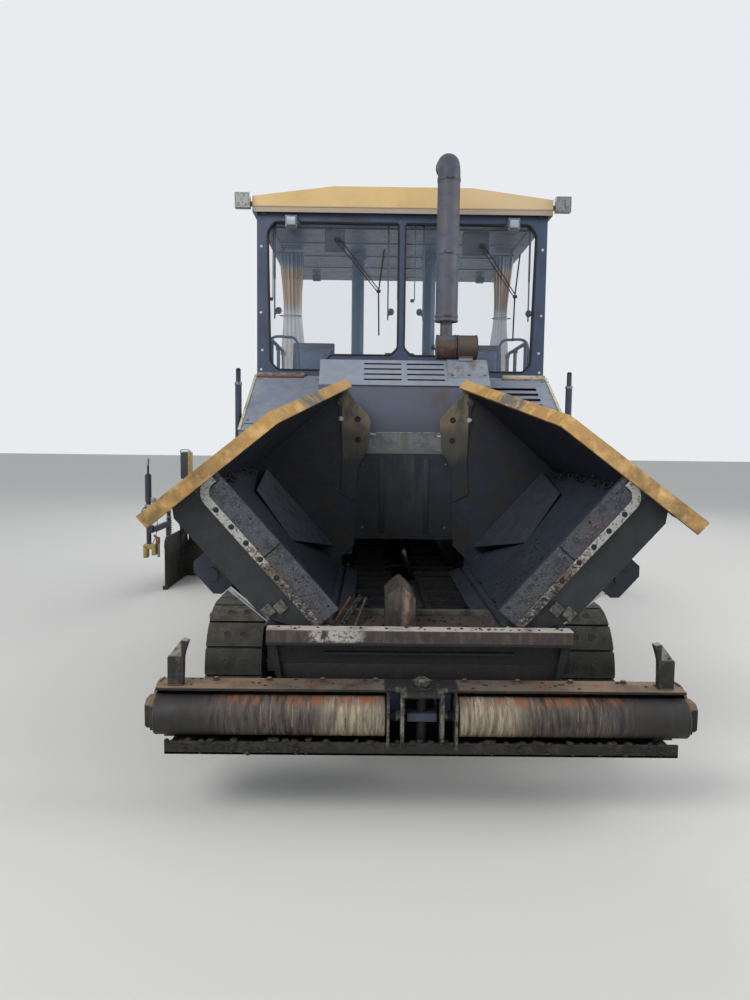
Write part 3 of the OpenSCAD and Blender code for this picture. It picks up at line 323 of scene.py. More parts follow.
# Hopper steel by parts: scraped apron strip, rusty floor plates, nearly black rear wall, and the front below the apron
# painted near black as the shade in that recess
hopper_steel = weathered("hopper_steel", "#242934", [
    ("#171b22", patches(340, 0.42, 0.6)), ("#2f333a", where(depth_back(2.0, 2.03), patches(180, 0.44, 0.62))),
    ("#4a463f", where(depth_back(1.995, 2.06), within(0, -0.10, 0.12, 0.06, 60, (0.42, 0.66), (1, 1, 0.15)),
                      within(2, 1.05, 1.66, 0.12))),
    ("#181b21", where(depth_back(1.99, 2.07), within(2, 0.8, 1.24, 0.14))),
    # painted shade: the hopper's front below the apron, near black
    ("#0d0e10", where(depth_back(0.15, 0.30), within(2, 0.3, 0.768, 0.003))),
    ("#4a3a33", FLOOR_PLATES),
    ("#5d463a", where(FLOOR_PLATES, patches(60, 0.5, 0.66))),
    ("#2b2723", DEFLECTOR_CAP),
    ("#4b423b", where(DEFLECTOR_CAP, patches(40, 0.46, 0.62, (1.5, 1, 0.35)))),
    ("#8a7263", where(DEFLECTOR_CAP, within(0, -0.075, -0.035, 0.012, 30, (0.4, 0.6), (1, 1, 0.4)))),
    ("#5b5850", where(depth_back(0.636, 0.68), within(2, 0.793, 0.83, 0.002), patches(70, 0.36, 0.56))),
    ("#3b3430", APRON_STRIP),
    ("#56453e", where(APRON_STRIP, patches(40, 0.5, 0.62, (1.4, 1, 0.4)))),
    ("#b1aca3", where(STRIP_DEPTH, within(0, -0.53, -0.28, 0.03), within(2, 0.772, 0.829, 0.006),
                      patches(48, 0.42, 0.5), patches(17, 0.36, 0.5))),
    ("#322c28", where(APRON_STRIP, patches(70, 0.56, 0.66, (0.6, 1, 1)))),
    ("#b4aaa0", where(STRIP_DEPTH, within(2, 0.8285, 0.84, 0.0012), patches(120, 0.3, 0.5)))],
    roughness=0.62, grain_mm=9, depth_mm=0.8)
# Track frame enamel; the bracket that stands out beside the track has rusted brown
frame_enamel = weathered("frame_enamel", "#323c4e", ROAD_DIRT + [
    ("#6a4f49", across(1.196, 1.3, 0.002)), ("#4b3a35", across(1.196, 1.3, 0.002, 40, (0.5, 0.64)))], roughness=0.6)
# Hard chrome on cylinder rods: smooth, mirror-like, with oily smears
hard_chrome = weathered("hard_chrome", "#b9bcc0", [("#8e9094", patches(60, 0.5, 0.7))], roughness=0.14, metallic=1.0,
                        grain_mm=3, depth_mm=0.02)
# Moulded ABS and rubber: dull near-black
moulded_abs = weathered("moulded_abs", "#2d3138", [("#4b4e52", settled(40, 0.45, 0.7))], roughness=0.55, grain_mm=1.5,
                        depth_mm=0.15)
black_rubber = weathered("black_rubber", "#1c1d1f", [("#3c3b38", settled(30, 0.4, 0.7))], roughness=0.75, grain_mm=2.5,
                         depth_mm=0.2)
# Zinc-plated fasteners, dulled
zinc_plate = weathered("zinc_plate", "#8c8d8c", [("#5c4a3c", patches(18, 0.52, 0.66))], roughness=0.45, metallic=0.75,
                       grain_mm=2, depth_mm=0.1)
# Galvanised open grating of the walkways, tarred at the edges
tarred_grating = weathered("tarred_grating", "#3c3a37", [
    ("#1b1a19", patches(200, 0.42, 0.6)), ("#77736b", chips(6, 20, 0.4, 0.6))],
    roughness=0.7, metallic=0.3, grain_mm=5, depth_mm=0.6)
# Rusty steel bar, rubbed pale on its upper face
dusty_rust = weathered("dusty_rust", "#6d5a52",
                       [("#948880", patches(60, 0.42, 0.6)), ("#7a4f42", patches(40, 0.56, 0.68)),
                        ("#4b3b34", patches(16, 0.6, 0.7))], roughness=0.7, metallic=0.15)
# Ivory trim paint along the hood's edges
ivory_trim = weathered("ivory_trim", "#c3b89d",
                       [("#8a7a5c", patches(40, 0.5, 0.66)), ("#6b4d33", chips(5, 16, 0.45, 0.6))], roughness=0.5)


def make_glass():
    """Laminated windscreen glass: clear, faintly blue, dust wiped thin."""
    material, tree, surface, place, _ = start_material("laminated_glass", 0.05, IOR=1.5)
    surface.inputs["Base Color"].default_value = colour("#8ea0b4")
    surface.inputs["Alpha"].default_value = 0.10
    smear = spread(tree, place, 220, 0.4, 0.75, (1, 1, 0.5))
    rough = add(tree, "ShaderNodeMapRange", {"Value": smear, "To Min": 0.03, "To Max": 0.16})
    tree.links.new(rough.outputs[0], surface.inputs["Roughness"])
    return material


laminated_glass = make_glass()


def wing_places(tree, place):
    """A wing's own measures: out along its floor (a), back from the rollers (y), off its floor (b)."""
    split = add(tree, "ShaderNodeSeparateXYZ", {0: place})
    out = add(tree, "ShaderNodeMath", {0: outward(tree, place), 1: HINGE_X}, operation="SUBTRACT").outputs[0]
    rise = add(tree, "ShaderNodeMath", {0: split.outputs[2], 1: HINGE_Z}, operation="SUBTRACT").outputs[0]
    back = add(tree, "ShaderNodeMath", {0: split.outputs[1], 1: ROLLER_Y}, operation="SUBTRACT").outputs[0]
    cos, sin = math.cos(FOLD), math.sin(FOLD)
    lift = add(tree, "ShaderNodeMath", {0: rise, 1: sin}, operation="MULTIPLY").outputs[0]
    along = add(tree, "ShaderNodeMath", {0: out, 1: cos, 2: lift}, operation="MULTIPLY_ADD").outputs[0]
    drop = add(tree, "ShaderNodeMath", {0: rise, 1: cos}, operation="MULTIPLY").outputs[0]
    off = add(tree, "ShaderNodeMath", {0: out, 1: -sin, 2: drop}, operation="MULTIPLY_ADD").outputs[0]
    return along, back, off


def on_wing(a=None, y=None, b=None, soft=0.004, size_mm=None, cut=(0.4, 0.6)):
    """A stain on part of a wing, given in the wing's own measures."""
    def mask(tree, place, normal):
        area = None
        for value, limits in zip(wing_places(tree, place), (a, y, b)):
            if limits:
                band = between(tree, value, limits[0], limits[1], soft)
                area = band if area is None else times(tree, area, band)
        return broken_up(tree, place, area, size_mm, cut)
    return mask


# The rim along a wing's side wall: rise and height of its sloping top and of its steep front, and how far out it lies
RIM_SLOPE, RIM_TOP, RIM_STEEP, RIM_NOSE, RIM_OUT = 0.2736, 0.3509, 1.88, -0.402, 0.925


def on_rim(size_mm=None, cut=(0.4, 0.6), y=None, soft=0.003):
    """The rim along a side wall's sloping top, back of the bend and down its front."""
    def mask(tree, place, normal):
        along, back, off = wing_places(tree, place)
        slope = add(tree, "ShaderNodeMath", {0: back, 1: RIM_SLOPE, 2: RIM_TOP}, operation="MULTIPLY_ADD").outputs[0]
        steep = add(tree, "ShaderNodeMath", {0: back, 1: RIM_STEEP, 2: RIM_NOSE}, operation="MULTIPLY_ADD").outputs[0]
        line = add(tree, "ShaderNodeMath", {0: slope, 1: steep}, operation="MINIMUM").outputs[0]
        above = add(tree, "ShaderNodeMath", {0: off, 1: line}, operation="SUBTRACT").outputs[0]
        high = add(tree, "ShaderNodeMapRange", {"Value": above, "From Min": -0.002, "From Max": 0.003}).outputs[0]
        outer = add(tree, "ShaderNodeMapRange", {"Value": along, "From Min": RIM_OUT,
                                                 "From Max": RIM_OUT + 0.007}).outputs[0]
        area = times(tree, high, outer)
        if y:
            area = times(tree, area, between(tree, back, y[0], y[1], soft))
        return broken_up(tree, place, area, size_mm, cut)
    return mask


# Wings: bitumen-stained slate paint inside, rims in chipped ochre with pale painted highlights, flaps rubbed to mottled
# grey, painted light and shade on the rear plates' inner parts
FLAP = (0.2625, 0.2795)
SKIRT = {"y": (0.0, 0.296), "b": (-0.4, -0.028)}
FLAP_FACE = {"y": FLAP, "b": (-0.03, 0.2), "soft": 0.001}
EDGE_STRIP = {"y": (0.2, 0.3), "b": (-0.1, 0.2)}
wing_paint = weathered("wing_paint", "#272d3a", [
    ("#1d222c", patches(340, 0.44, 0.62)), ("#343941", patches(26, 0.64, 0.76)),
    ("#1f2124", on_wing(**SKIRT)),
    ("#2a2b2e", on_wing(**SKIRT, size_mm=160, cut=(0.44, 0.62))),
    ("#404348", on_wing(**FLAP_FACE)),
    ("#2a2d34", on_wing(**FLAP_FACE, size_mm=34, cut=(0.48, 0.58))),
    ("#66686b", on_wing(**FLAP_FACE, size_mm=9, cut=(0.56, 0.64))),
    ("#5a4a42", on_wing(a=(0.0, 0.46), y=FLAP, b=(-0.03, 0.06), soft=0.02, size_mm=22, cut=(0.48, 0.6))),
    ("#7d5a58", where(within(0, 0.3, 1.3), on_wing(a=(0.57, 0.72), y=FLAP, b=(0.0, 0.09), soft=0.03, size_mm=11,
                                                   cut=(0.46, 0.56)))),
    ("#2b2826", where(depth_back(1.97, 2.01), patches(160, 0.45, 0.6))),
    # painted light and shade: the rear plates' inner parts tan where light falls on them, darker olive lower down
    ("#7b705c", where(INNER_PLATES, within(2, 1.76, 2.2, 0.06))),
    ("#4f4a3c", where(INNER_PLATES, within(2, 1.62, 1.80, 0.05))),
    ("#54504a", where(REAR_PLATES, within(2, 1.60, 2.2, 0.05),
                      across(0.0, 0.447, 0.002, 70, (0.46, 0.62), (1, 1, 0.5)))),
    ("#85603f", where(REAR_PLATES, across(0.0, 0.32, 0.03), within(2, 1.82, 1.98, 0.04), patches(50, 0.48, 0.62))),
    # the pale patches on the rims are painted highlights; the orange and dark patches are stains
    ("#af874c", on_rim()), ("#d0aa6b", on_rim(90, (0.48, 0.62))), ("#b5763c", on_rim(60, (0.56, 0.68))),
    ("#4a3d2c", on_rim(20, (0.64, 0.72))), ("#6b655c", on_rim(60, (0.34, 0.5), (0.93, 1.30), soft=0.05)),
    ("#7a6037", on_rim(80, (0.34, 0.6), (-0.1, 0.30), soft=0.08)),
    ("#c9a266", on_rim(120, (0.3, 0.5), (1.68, 2.1), soft=0.05)),
    ("#5c564e", chips(7, 20, 0.5, 0.64))], roughness=0.58, grain_mm=9, depth_mm=0.7)
# Bitumen crust: black, slightly glossy binder over brown stone
bitumen_crust = weathered("bitumen_crust", "#1d1b19", [
    ("#3b3530", patches(9, 0.5, 0.62)), ("#5a5148", patches(5, 0.62, 0.7))], roughness=0.72, grain_mm=3, depth_mm=1.2)
# Mild steel rubbed bright and gone dull again
worn_steel_edge = weathered("worn_steel_edge", "#5f5d59", [
    ("#3a3733", patches(22, 0.46, 0.6)), ("#6a4a34", patches(30, 0.6, 0.7)), ("#96928b", patches(8, 0.62, 0.7))],
    roughness=0.5, metallic=0.45, grain_mm=3, depth_mm=0.3)
# Pale paint standing for light caught along an edge, a painted highlight, broken by dark grey, brown and grey patches
edge_highlight_paint = weathered("edge_highlight_paint", "#a9a8a2", [
    ("#4a4b4c", patches(40, 0.47, 0.56)), ("#5d4c3e", patches(26, 0.6, 0.68)), ("#77766f", patches(12, 0.5, 0.66))],
    roughness=0.6, grain_mm=4, depth_mm=0.4)
# The wings' deflector plates: slate paint with long scratches, the right one in shade of old bitumen
deflector_plate = weathered("deflector_plate", "#444851", [
    ("#2b303a", within(0, 0.0, 1.4)), ("#30343b", patches(90, 0.48, 0.6)),
    ("#4f5256", patches(14, 0.6, 0.7, (1, 0.12, 1)))],
    roughness=0.55, grain_mm=5, depth_mm=0.5)
# Edge strip of the flaps: white paint rubbed through, gone to bare grey aggregate at its inner end
edge_strip = weathered("edge_strip", "#b4b3ad", [
    ("#5a5b5c", patches(18, 0.52, 0.6)), ("#8d8b84", patches(6, 0.5, 0.66)),
    ("#45423f", on_wing(a=(-0.1, 0.44), **EDGE_STRIP, soft=0.02)),
    ("#8b8880", on_wing(a=(0.0, 0.44), **EDGE_STRIP, soft=0.01, size_mm=11, cut=(0.52, 0.6))),
    ("#6a5542", on_wing(a=(0.28, 0.58), **EDGE_STRIP, soft=0.03, size_mm=16, cut=(0.46, 0.56)))],
    roughness=0.6, grain_mm=4, depth_mm=0.4)
# Lugs rubbed light by trucks' tailgates
rubbed_lug = weathered("rubbed_lug", "#66645f",
                       [("#3a3835", patches(24, 0.48, 0.6)), ("#8b8880", chips(4, 16, 0.4, 0.6))], roughness=0.6,
                       metallic=0.15, grain_mm=4, depth_mm=0.4)
# Plate scraped clean by sliding mix: light grey-olive, dusky at its foot, with long scratches
scraped_plate = weathered("scraped_plate", "#66686a", [
    ("#54544f", within(2, 1.6, 1.67, 0.03)), ("#55564f", within(0, -0.02, 0.03, 0.012)),
    ("#4d5054", patches(120, 0.5, 0.62)), ("#777774", patches(10, 0.6, 0.7, (0.12, 1, 1)))],
    roughness=0.5, metallic=0.2, grain_mm=4, depth_mm=0.3)
# Bolts painted white by the workshop
white_bolt = weathered("white_bolt", "#c9cbcc", [("#7d7468", patches(8, 0.56, 0.66))], roughness=0.45, grain_mm=2,
                       depth_mm=0.1)
# Die-cast lamp housings, grey-blue
lamp_housing = weathered("lamp_housing", "#5d6a7a",
                         [("#474f5a", patches(30, 0.48, 0.62)), ("#8b9299", settled(20, 0.4, 0.7))], roughness=0.45,
                         metallic=0.2, grain_mm=2, depth_mm=0.15)
# Seats: embossed vinyl, slate blue, dusty on what looks up
seat_vinyl = weathered("seat_vinyl", "#46546e", [
    ("#39455b", patches(150, 0.45, 0.62)), ("#6b7078", settled(70, 0.4, 0.7)), ("#2b3446", patches(30, 0.64, 0.72))],
    roughness=0.48, grain_mm=2.2, depth_mm=0.25)
# Sensor yoke: fresh signal yellow, dusty
signal_yellow = weathered("signal_yellow", "#a98f4e",
                          [("#6e6143", patches(26, 0.52, 0.64)), ("#b7ad92", settled(20, 0.4, 0.7))], roughness=0.5,
                          grain_mm=2, depth_mm=0.2)
# Crossbar, dark grey-brown with rust bleeding along it
rusty_bar = weathered("rusty_bar", "#151312",
                      [("#0f0e0d", patches(60, 0.46, 0.62)), ("#2a221d", patches(50, 0.56, 0.7, (1, 1, 0.4))),
                       ("#5f564d", chips(5, 40, 0.46, 0.66))], roughness=0.7, grain_mm=5, depth_mm=0.6)
# Rust-red rod, its mill scale gone
rusted_rod = weathered("rusted_rod", "#6b3f30",
                       [("#4a3029", patches(26, 0.48, 0.62)), ("#8d6a55", chips(4, 12, 0.4, 0.6))], roughness=0.7,
                       metallic=0.2, grain_mm=3, depth_mm=0.3)
# Brown moulded plug
rust_brown_moulding = weathered("rust_brown_moulding", "#7c5a44", [("#4a3a30", patches(14, 0.5, 0.62))], roughness=0.55,
                                grain_mm=1.5, depth_mm=0.15)


def make_lens(name, tone, roughness):
    """Moulded polycarbonate lens."""
    material, tree, surface, place, _ = start_material(name, roughness, IOR=1.58)
    dust = spread(tree, place, 14, 0.45, 0.75)
    shade = over(tree, colour(tone), colour("#8f8a80"), times(tree, dust, 0.5))
    tree.links.new(shade, surface.inputs["Base Color"])
    ripple = add(tree, "ShaderNodeTexWave", {"Vector": place, "Scale": 60.0, "Distortion": 0.0})
    relief(tree, surface, ripple.outputs["Fac"], 0.4)
    return material


ribbed_lens = make_lens("ribbed_lens", "#9aa7b2", 0.18)
red_lens = make_lens("red_lens", "#8e1f1c", 0.2)
amber_lens = make_lens("amber_lens", "#c26a1d", 0.2)


def make_curtain_film():
    """Side curtains of clear PVC film, yellowed and dusty, with a tarpaulin head band in orange."""
    material, tree, surface, place, _ = start_material("curtain_film", 0.35)
    base = over(tree, colour("#a9aeb0"), colour("#8c8b84"), spread(tree, place, 160, 0.42, 0.62, (2.4, 2.4, 0.5)))
    base = over(tree, base, colour("#9c8a5c"), times(tree, spread(tree, place, 240, 0.5, 0.64, (1, 1, 0.5)), 0.7))
    base = over(tree, base, colour("#a8834e"), zone(tree, place, 2, 3.02, 3.42, 0.10))
    base = over(tree, base, colour("#667282"), zone(tree, place, 2, 3.44, 3.7, 0.03))
    tree.links.new(base, surface.inputs["Base Color"])
    clear = add(tree, "ShaderNodeMapRange", {"Value": zone(tree, place, 2, 3.0, 3.7, 0.05), "To Min": 0.72,
                                             "To Max": 0.95})
    tree.links.new(clear.outputs[0], surface.inputs["Alpha"])
    relief(tree, surface, spread(tree, place, 12, 0.35, 0.65), 0.5)
    return material


curtain_film = make_curtain_film()


def paint(node, material):
    slots = NODES[node].data.materials
    slots.clear()
    slots.append(material)


for finish, nodes in (
        (slate_enamel, "chassis engine_block wing_barrel_left wing_barrel_right tow_arms"),
        (frame_enamel, "track_frame_left track_frame_right"), (dusty_cast_steel, "track_left track_right"),
        (hopper_steel, "hopper"), (mix_black_steel, "conveyors"), (bonnet_enamel, "bonnet"),
        (hood_enamel, "hood_sides"), (heat_browned_steel, "exhaust_stack"),
        (cab_enamel, "platform windshield_frame roof_columns"),
        (faded_yellow, "side_door_left side_door_right lift_barrel_left lift_barrel_right"),
        (moulded_abs, "console seat_left seat_right grade_sensor"), (laminated_glass, "windshield_glass"),
        (roof_enamel, "roof"), (zinc_plate, "lamps"), (ivory_trim, "curtains"),
        (beam_steel, "push_beam end_gate_left end_gate_right"), (roller_steel, "push_roller_left push_roller_right"),
        (wing_paint, "wing_left wing_right"), (scraped_steel, "auger_left auger_right"),
        (hard_chrome, "wing_rod_left wing_rod_right lift_rod_left lift_rod_right"),
        (tarred_grating, "screed screed_ext_left screed_ext_right")):
    for node in nodes.split():
        paint(node, finish)


# ---------------------------------------------------------------- shaping pieces
def taken(part):
    """A finished bmesh as plain points and faces."""
    part.verts.index_update()
    shape = ([v.co.copy() for v in part.verts], [[v.index for v in f.verts] for f in part.faces])
    part.free()
    return shape


def moved(shape, where):
    return [where @ point for point in shape[0]], shape[1]


def block(low, high, edge=0.004, steps=2):
    """A block with rounded edges between two corners."""
    low, high = Vector(low), Vector(high)
    part = bmesh.new()
    size = Matrix.Diagonal((high - low).to_4d())
    size[3][3] = 1.0
    bmesh.ops.create_cube(part, size=1.0, matrix=Matrix.Translation((low + high) / 2) @ size)
    if edge:
        room = min(abs(c) for c in (high - low)) * 0.45
        bmesh.ops.bevel(part, geom=part.edges[:], offset=min(edge, room), segments=steps, affect="EDGES", profile=0.5)
    return taken(part)


def box(corner, other, edge=0.004, steps=2):
    """A block between two places on the machine, in whichever order."""
    low, high = (at(*map(pick, corner, other)) for pick in (min, max))
    return block(low, high, edge, steps)


def cut_plate(outline, thickness, edge=0.0015):
    """A plate cut to an outline in X and Y, with broken edges, its lower face at Z 0."""
    part = bmesh.new()
    rim = part.faces.new([part.verts.new((x, y, 0.0)) for x, y in outline])
    raised = bmesh.ops.extrude_face_region(part, geom=[rim])
    bmesh.ops.translate(part, vec=(0, 0, thickness),
                        verts=[v for v in raised["geom"] if isinstance(v, bmesh.types.BMVert)])
    bmesh.ops.recalc_face_normals(part, faces=part.faces)
    if edge:
        sharp = [e for e in part.edges if len(e.link_faces) == 2 and e.calc_face_angle() > 0.6]
        bmesh.ops.bevel(part, geom=sharp, offset=edge, segments=1, affect="EDGES", profile=0.5)
    return taken(part)


def slab(x0, x1, outline, edge=0.0015):
    """A plate cut to an outline of places (back, up), between two places across the machine."""
    stand = Matrix(((0, 0, 1, min(x0, x1)), (1, 0, 0, ROLLER_Y), (0, 1, 0, 0), (0, 0, 0, 1)))
    return moved(cut_plate(outline, abs(x1 - x0), edge), stand)


def turned(profile, steps=24):
    """A shape turned about Z from (radius, height) points."""
    points, faces, rows = [], [], []
    for radius, height in profile:
        if radius < 1e-6:
            rows.append([len(points)] * steps)
            points.append(Vector((0, 0, height)))
        else:
            rows.append([len(points) + i for i in range(steps)])
            points += [Vector((radius * math.cos(2 * math.pi * i / steps), radius * math.sin(2 * math.pi * i / steps),
                               height)) for i in range(steps)]
    for below, above in zip(rows, rows[1:]):
        for i in range(steps):
            corner = [below[i], below[(i + 1) % steps], above[(i + 1) % steps], above[i]]
            corner = [c for n, c in enumerate(corner) if c not in corner[:n]]
            if len(corner) > 2:
                faces.append(corner)
    return points, faces


def smoothed(points, per_span=6):
    """A soft curve through the points."""
    spots = [Vector(p) for p in points]
    last, line = len(spots) - 1, []
    for i in range(last):
        a, b, c, d = (spots[max(0, min(last, i + k))] for k in (-1, 0, 1, 2))
        for n in range(per_span):
            t = n / per_span
            line.append(0.5 * (2 * b + (c - a) * t + (2 * a - 5 * b + 4 * c - d) * t * t
                               + (3 * b - a - 3 * c + d) * t ** 3))
    return line + [spots[-1]]


def swept(path, radius, sides=10, closed=False, flat=1.0):
    """A round or flattened bar along a path; radius may be one number for each point."""
    path = [Vector(p) for p in path]
    count = len(path)
    radii = list(radius) if hasattr(radius, "__len__") else [radius] * count
    points, faces, side = [], [], None
    for i, spot in enumerate(path):
        ahead = path[(i + 1) % count] if closed or i < count - 1 else spot
        behind = path[i - 1] if closed or i > 0 else spot
        along = (ahead - behind).normalized()
        if side is None:
            side = along.cross(Vector((0, 0, 1)) if abs(along.z) < 0.9 else Vector((0, 1, 0))).normalized()
        side = (side - along * side.dot(along)).normalized()
        up = side.cross(along)
        for k in range(sides):
            turn = 2 * math.pi * (k + 0.5) / sides
            points.append(spot + (side * math.cos(turn) + up * math.sin(turn) * flat) * radii[i])
    for i in range(count if closed else count - 1):
        for k in range(sides):
            here, there = i * sides, ((i + 1) % count) * sides
            faces.append([here + k, here + (k + 1) % sides, there + (k + 1) % sides, there + k])
    if not closed:
        faces += [list(range(sides))[::-1], list(range((count - 1) * sides, count * sides))]
    return points, faces


def run(*places):
    """A line of places on the machine."""
    return [at(*place) for place in places]


def rod(start, end, radius, sides=10):
    """A round bar between two places on the machine."""
    return swept(run(start, end), radius, sides)


def ribbon(path, across, thickness):
    """A flat strip along a path; across is its width as a vector."""
    path, across = [Vector(p) for p in path], Vector(across)
    points, faces = [], []
    for i, spot in enumerate(path):
        along = (path[min(i + 1, len(path) - 1)] - path[max(i - 1, 0)]).normalized()
        out = along.cross(across).normalized() * thickness
        points += [spot - across / 2, spot + across / 2, spot + across / 2 + out, spot - across / 2 + out]
    for i in range(len(path) - 1):
        for k in range(4):
            faces.append([i * 4 + k, i * 4 + (k + 1) % 4, i * 4 + 4 + (k + 1) % 4, i * 4 + 4 + k])
    return points, faces + [[3, 2, 1, 0], [len(points) - 4 + k for k in range(4)]]


def facing(place, axis, turn=0.0):
    """Stands a shape's Z along an axis at a place."""
    return Matrix.Translation(Vector(place)) @ Vector(axis).to_track_quat("Z", "Y").to_matrix().to_4x4() @ \
        Matrix.Rotation(turn, 4, "Z")


def stood(shape, place, axis, turn=0.0):
    """A shape with its Z stood along an axis at a place."""
    return moved(shape, facing(place, axis, turn))


def circle(count):
    """Angles evenly round a full turn."""
    return [n / count * math.tau for n in range(count)]


def hex_bolt(radius, height):
    """A bolt head on its washer."""
    washer = turned([(0, 0), (radius * 1.35, 0), (radius * 1.35, height * 0.22), (0, height * 0.22)], 12)
    head = turned([(radius, height * 0.22), (radius, height * 0.85), (radius * 0.86, height), (0, height)], 6)
    return [washer, head]


def bolt_at(place, axis, radius, height):
    return [stood(shape, place, axis) for shape in hex_bolt(radius, height)]


def round_bolt(radius, height):
    return [turned([(radius, 0), (radius, height * 0.35), (radius * 0.75, height * 0.85), (0, height)], 12)]


def weld(points, radius=0.006):
    """A weld seam with its ripples."""
    line = []
    for a, b in zip(points, points[1:]):
        a, b = Vector(a), Vector(b)
        steps = max(2, int((b - a).length / 0.012))
        line += [a.lerp(b, n / steps) for n in range(steps)]
    line.append(Vector(points[-1]))
    return swept(line, [radius * (0.82 + 0.3 * ((i + 1) % 2)) for i in range(len(line))], 6)


def crumb(place, radius, seed, squash=0.6):
    """A crumb of asphalt mix: stones stuck in bitumen."""
    part = bmesh.new()
    bmesh.ops.create_icosphere(part, subdivisions=2, radius=radius)
    drift = Vector((seed * 3.7, seed * 1.3, seed * 2.1))
    for v in part.verts:
        v.co *= 1.0 + 0.45 * noise.noise(v.co / radius * 1.1 + drift)
        v.co.z *= squash
    return moved(taken(part), Matrix.Translation(Vector(place)) @ Matrix.Rotation(seed * 2.4, 4, "Z"))


def crumbs(rng, count, spot, low, high, squash=0.6):
    """Several crumbs; spot() gives a place."""
    return [crumb(spot(), rng.uniform(low, high), rng.random() * 20, squash) for _ in range(count)]


def fit(name, body, material, shapes, sharp=35):
    """The shapes as one piece of the machine, riding on a body."""
    points, faces = [], []
    for shape in shapes:
        start = len(points)
        points += [tuple(p) for p in shape[0]]
        faces += [[start + i for i in face] for face in shape[1]]
    mesh = bpy.data.meshes.new(name)
    mesh.from_pydata(points, [], faces)
    part = bmesh.new()
    part.from_mesh(mesh)
    bmesh.ops.recalc_face_normals(part, faces=part.faces)
    part.to_mesh(mesh)
    part.free()
    mesh.shade_smooth()
    mesh.set_sharp_from_angle(angle=math.radians(sharp))
    mesh.materials.append(material)
    piece = bpy.data.objects.new(name, mesh)
    bpy.context.scene.collection.objects.link(piece)
    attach(piece, body)
    return piece


def bolts(name, body, material, spots, axis, radius=0.012, height=0.012, head=hex_bolt):
    """Bolt heads at several places, all facing one way."""
    shapes = []
    for n, spot in enumerate(spots):
        shapes += [stood(shape, spot, axis, n * 0.7) for shape in head(radius, height)]
    return fit(name, body, material, shapes)


def corners(a0, b0, a1, b1):
    """The four corners of a rectangle."""
    return [(a0, b0), (a1, b0), (a1, b1), (a0, b1)]


def rounded_outline(turns, radius):
    """A closed outline with its corners rounded."""
    line, steps = [], 5
    for i, corner in enumerate(turns):
        corner = Vector(corner)
        before, after = Vector(turns[i - 1]) - corner, Vector(turns[(i + 1) % len(turns)]) - corner
        cut = min(radius, before.length * 0.45, after.length * 0.45)
        a, b = corner + before.normalized() * cut, corner + after.normalized() * cut
        for n in range(steps + 1):
            t = n / steps
            line.append((1 - t) ** 2 * a + 2 * t * (1 - t) * corner + t * t * b)
    return line


SIDES = {"left": -1, "right": 1}


def wing_frame(side):
    """Places along a wing's floor (a), back (y) and off its floor (b) as places on the machine."""
    cos, sin = math.cos(FOLD), math.sin(FOLD)
    return Matrix(((side * cos, 0, -side * sin, side * HINGE_X), (0, 1, 0, ROLLER_Y), (sin, 0, cos, HINGE_Z),
                   (0, 0, 0, 1)))


def wing_plate(frame_here, y0, y1, outline):
    """A plate across a wing's end, cut to an outline of places along (a) and off (b) its floor."""
    stand = Matrix(((1, 0, 0, 0), (0, 0, -1, y1), (0, 1, 0, 0), (0, 0, 0, 1)))
    return moved(cut_plate(outline, y1 - y0), frame_here @ stand)


# ---------------------------------------------------------------- push beam and rollers
# Push beam: half lengths of its top and foot, end plates, back, top and underside, plate thickness
BEAM_TOP_HALF, BEAM_FOOT_HALF, BEAM_END = 1.214, 1.16, 1.227
BEAM_BACK, BEAM_TOP, BEAM_LOW, BEAM_T = 0.137, 0.604, 0.318, 0.014
# Height of the rollers' axis, and the clevis cheeks' places across
ROLLER_Z, CHEEK_X = 0.478, (0.082, 0.148)


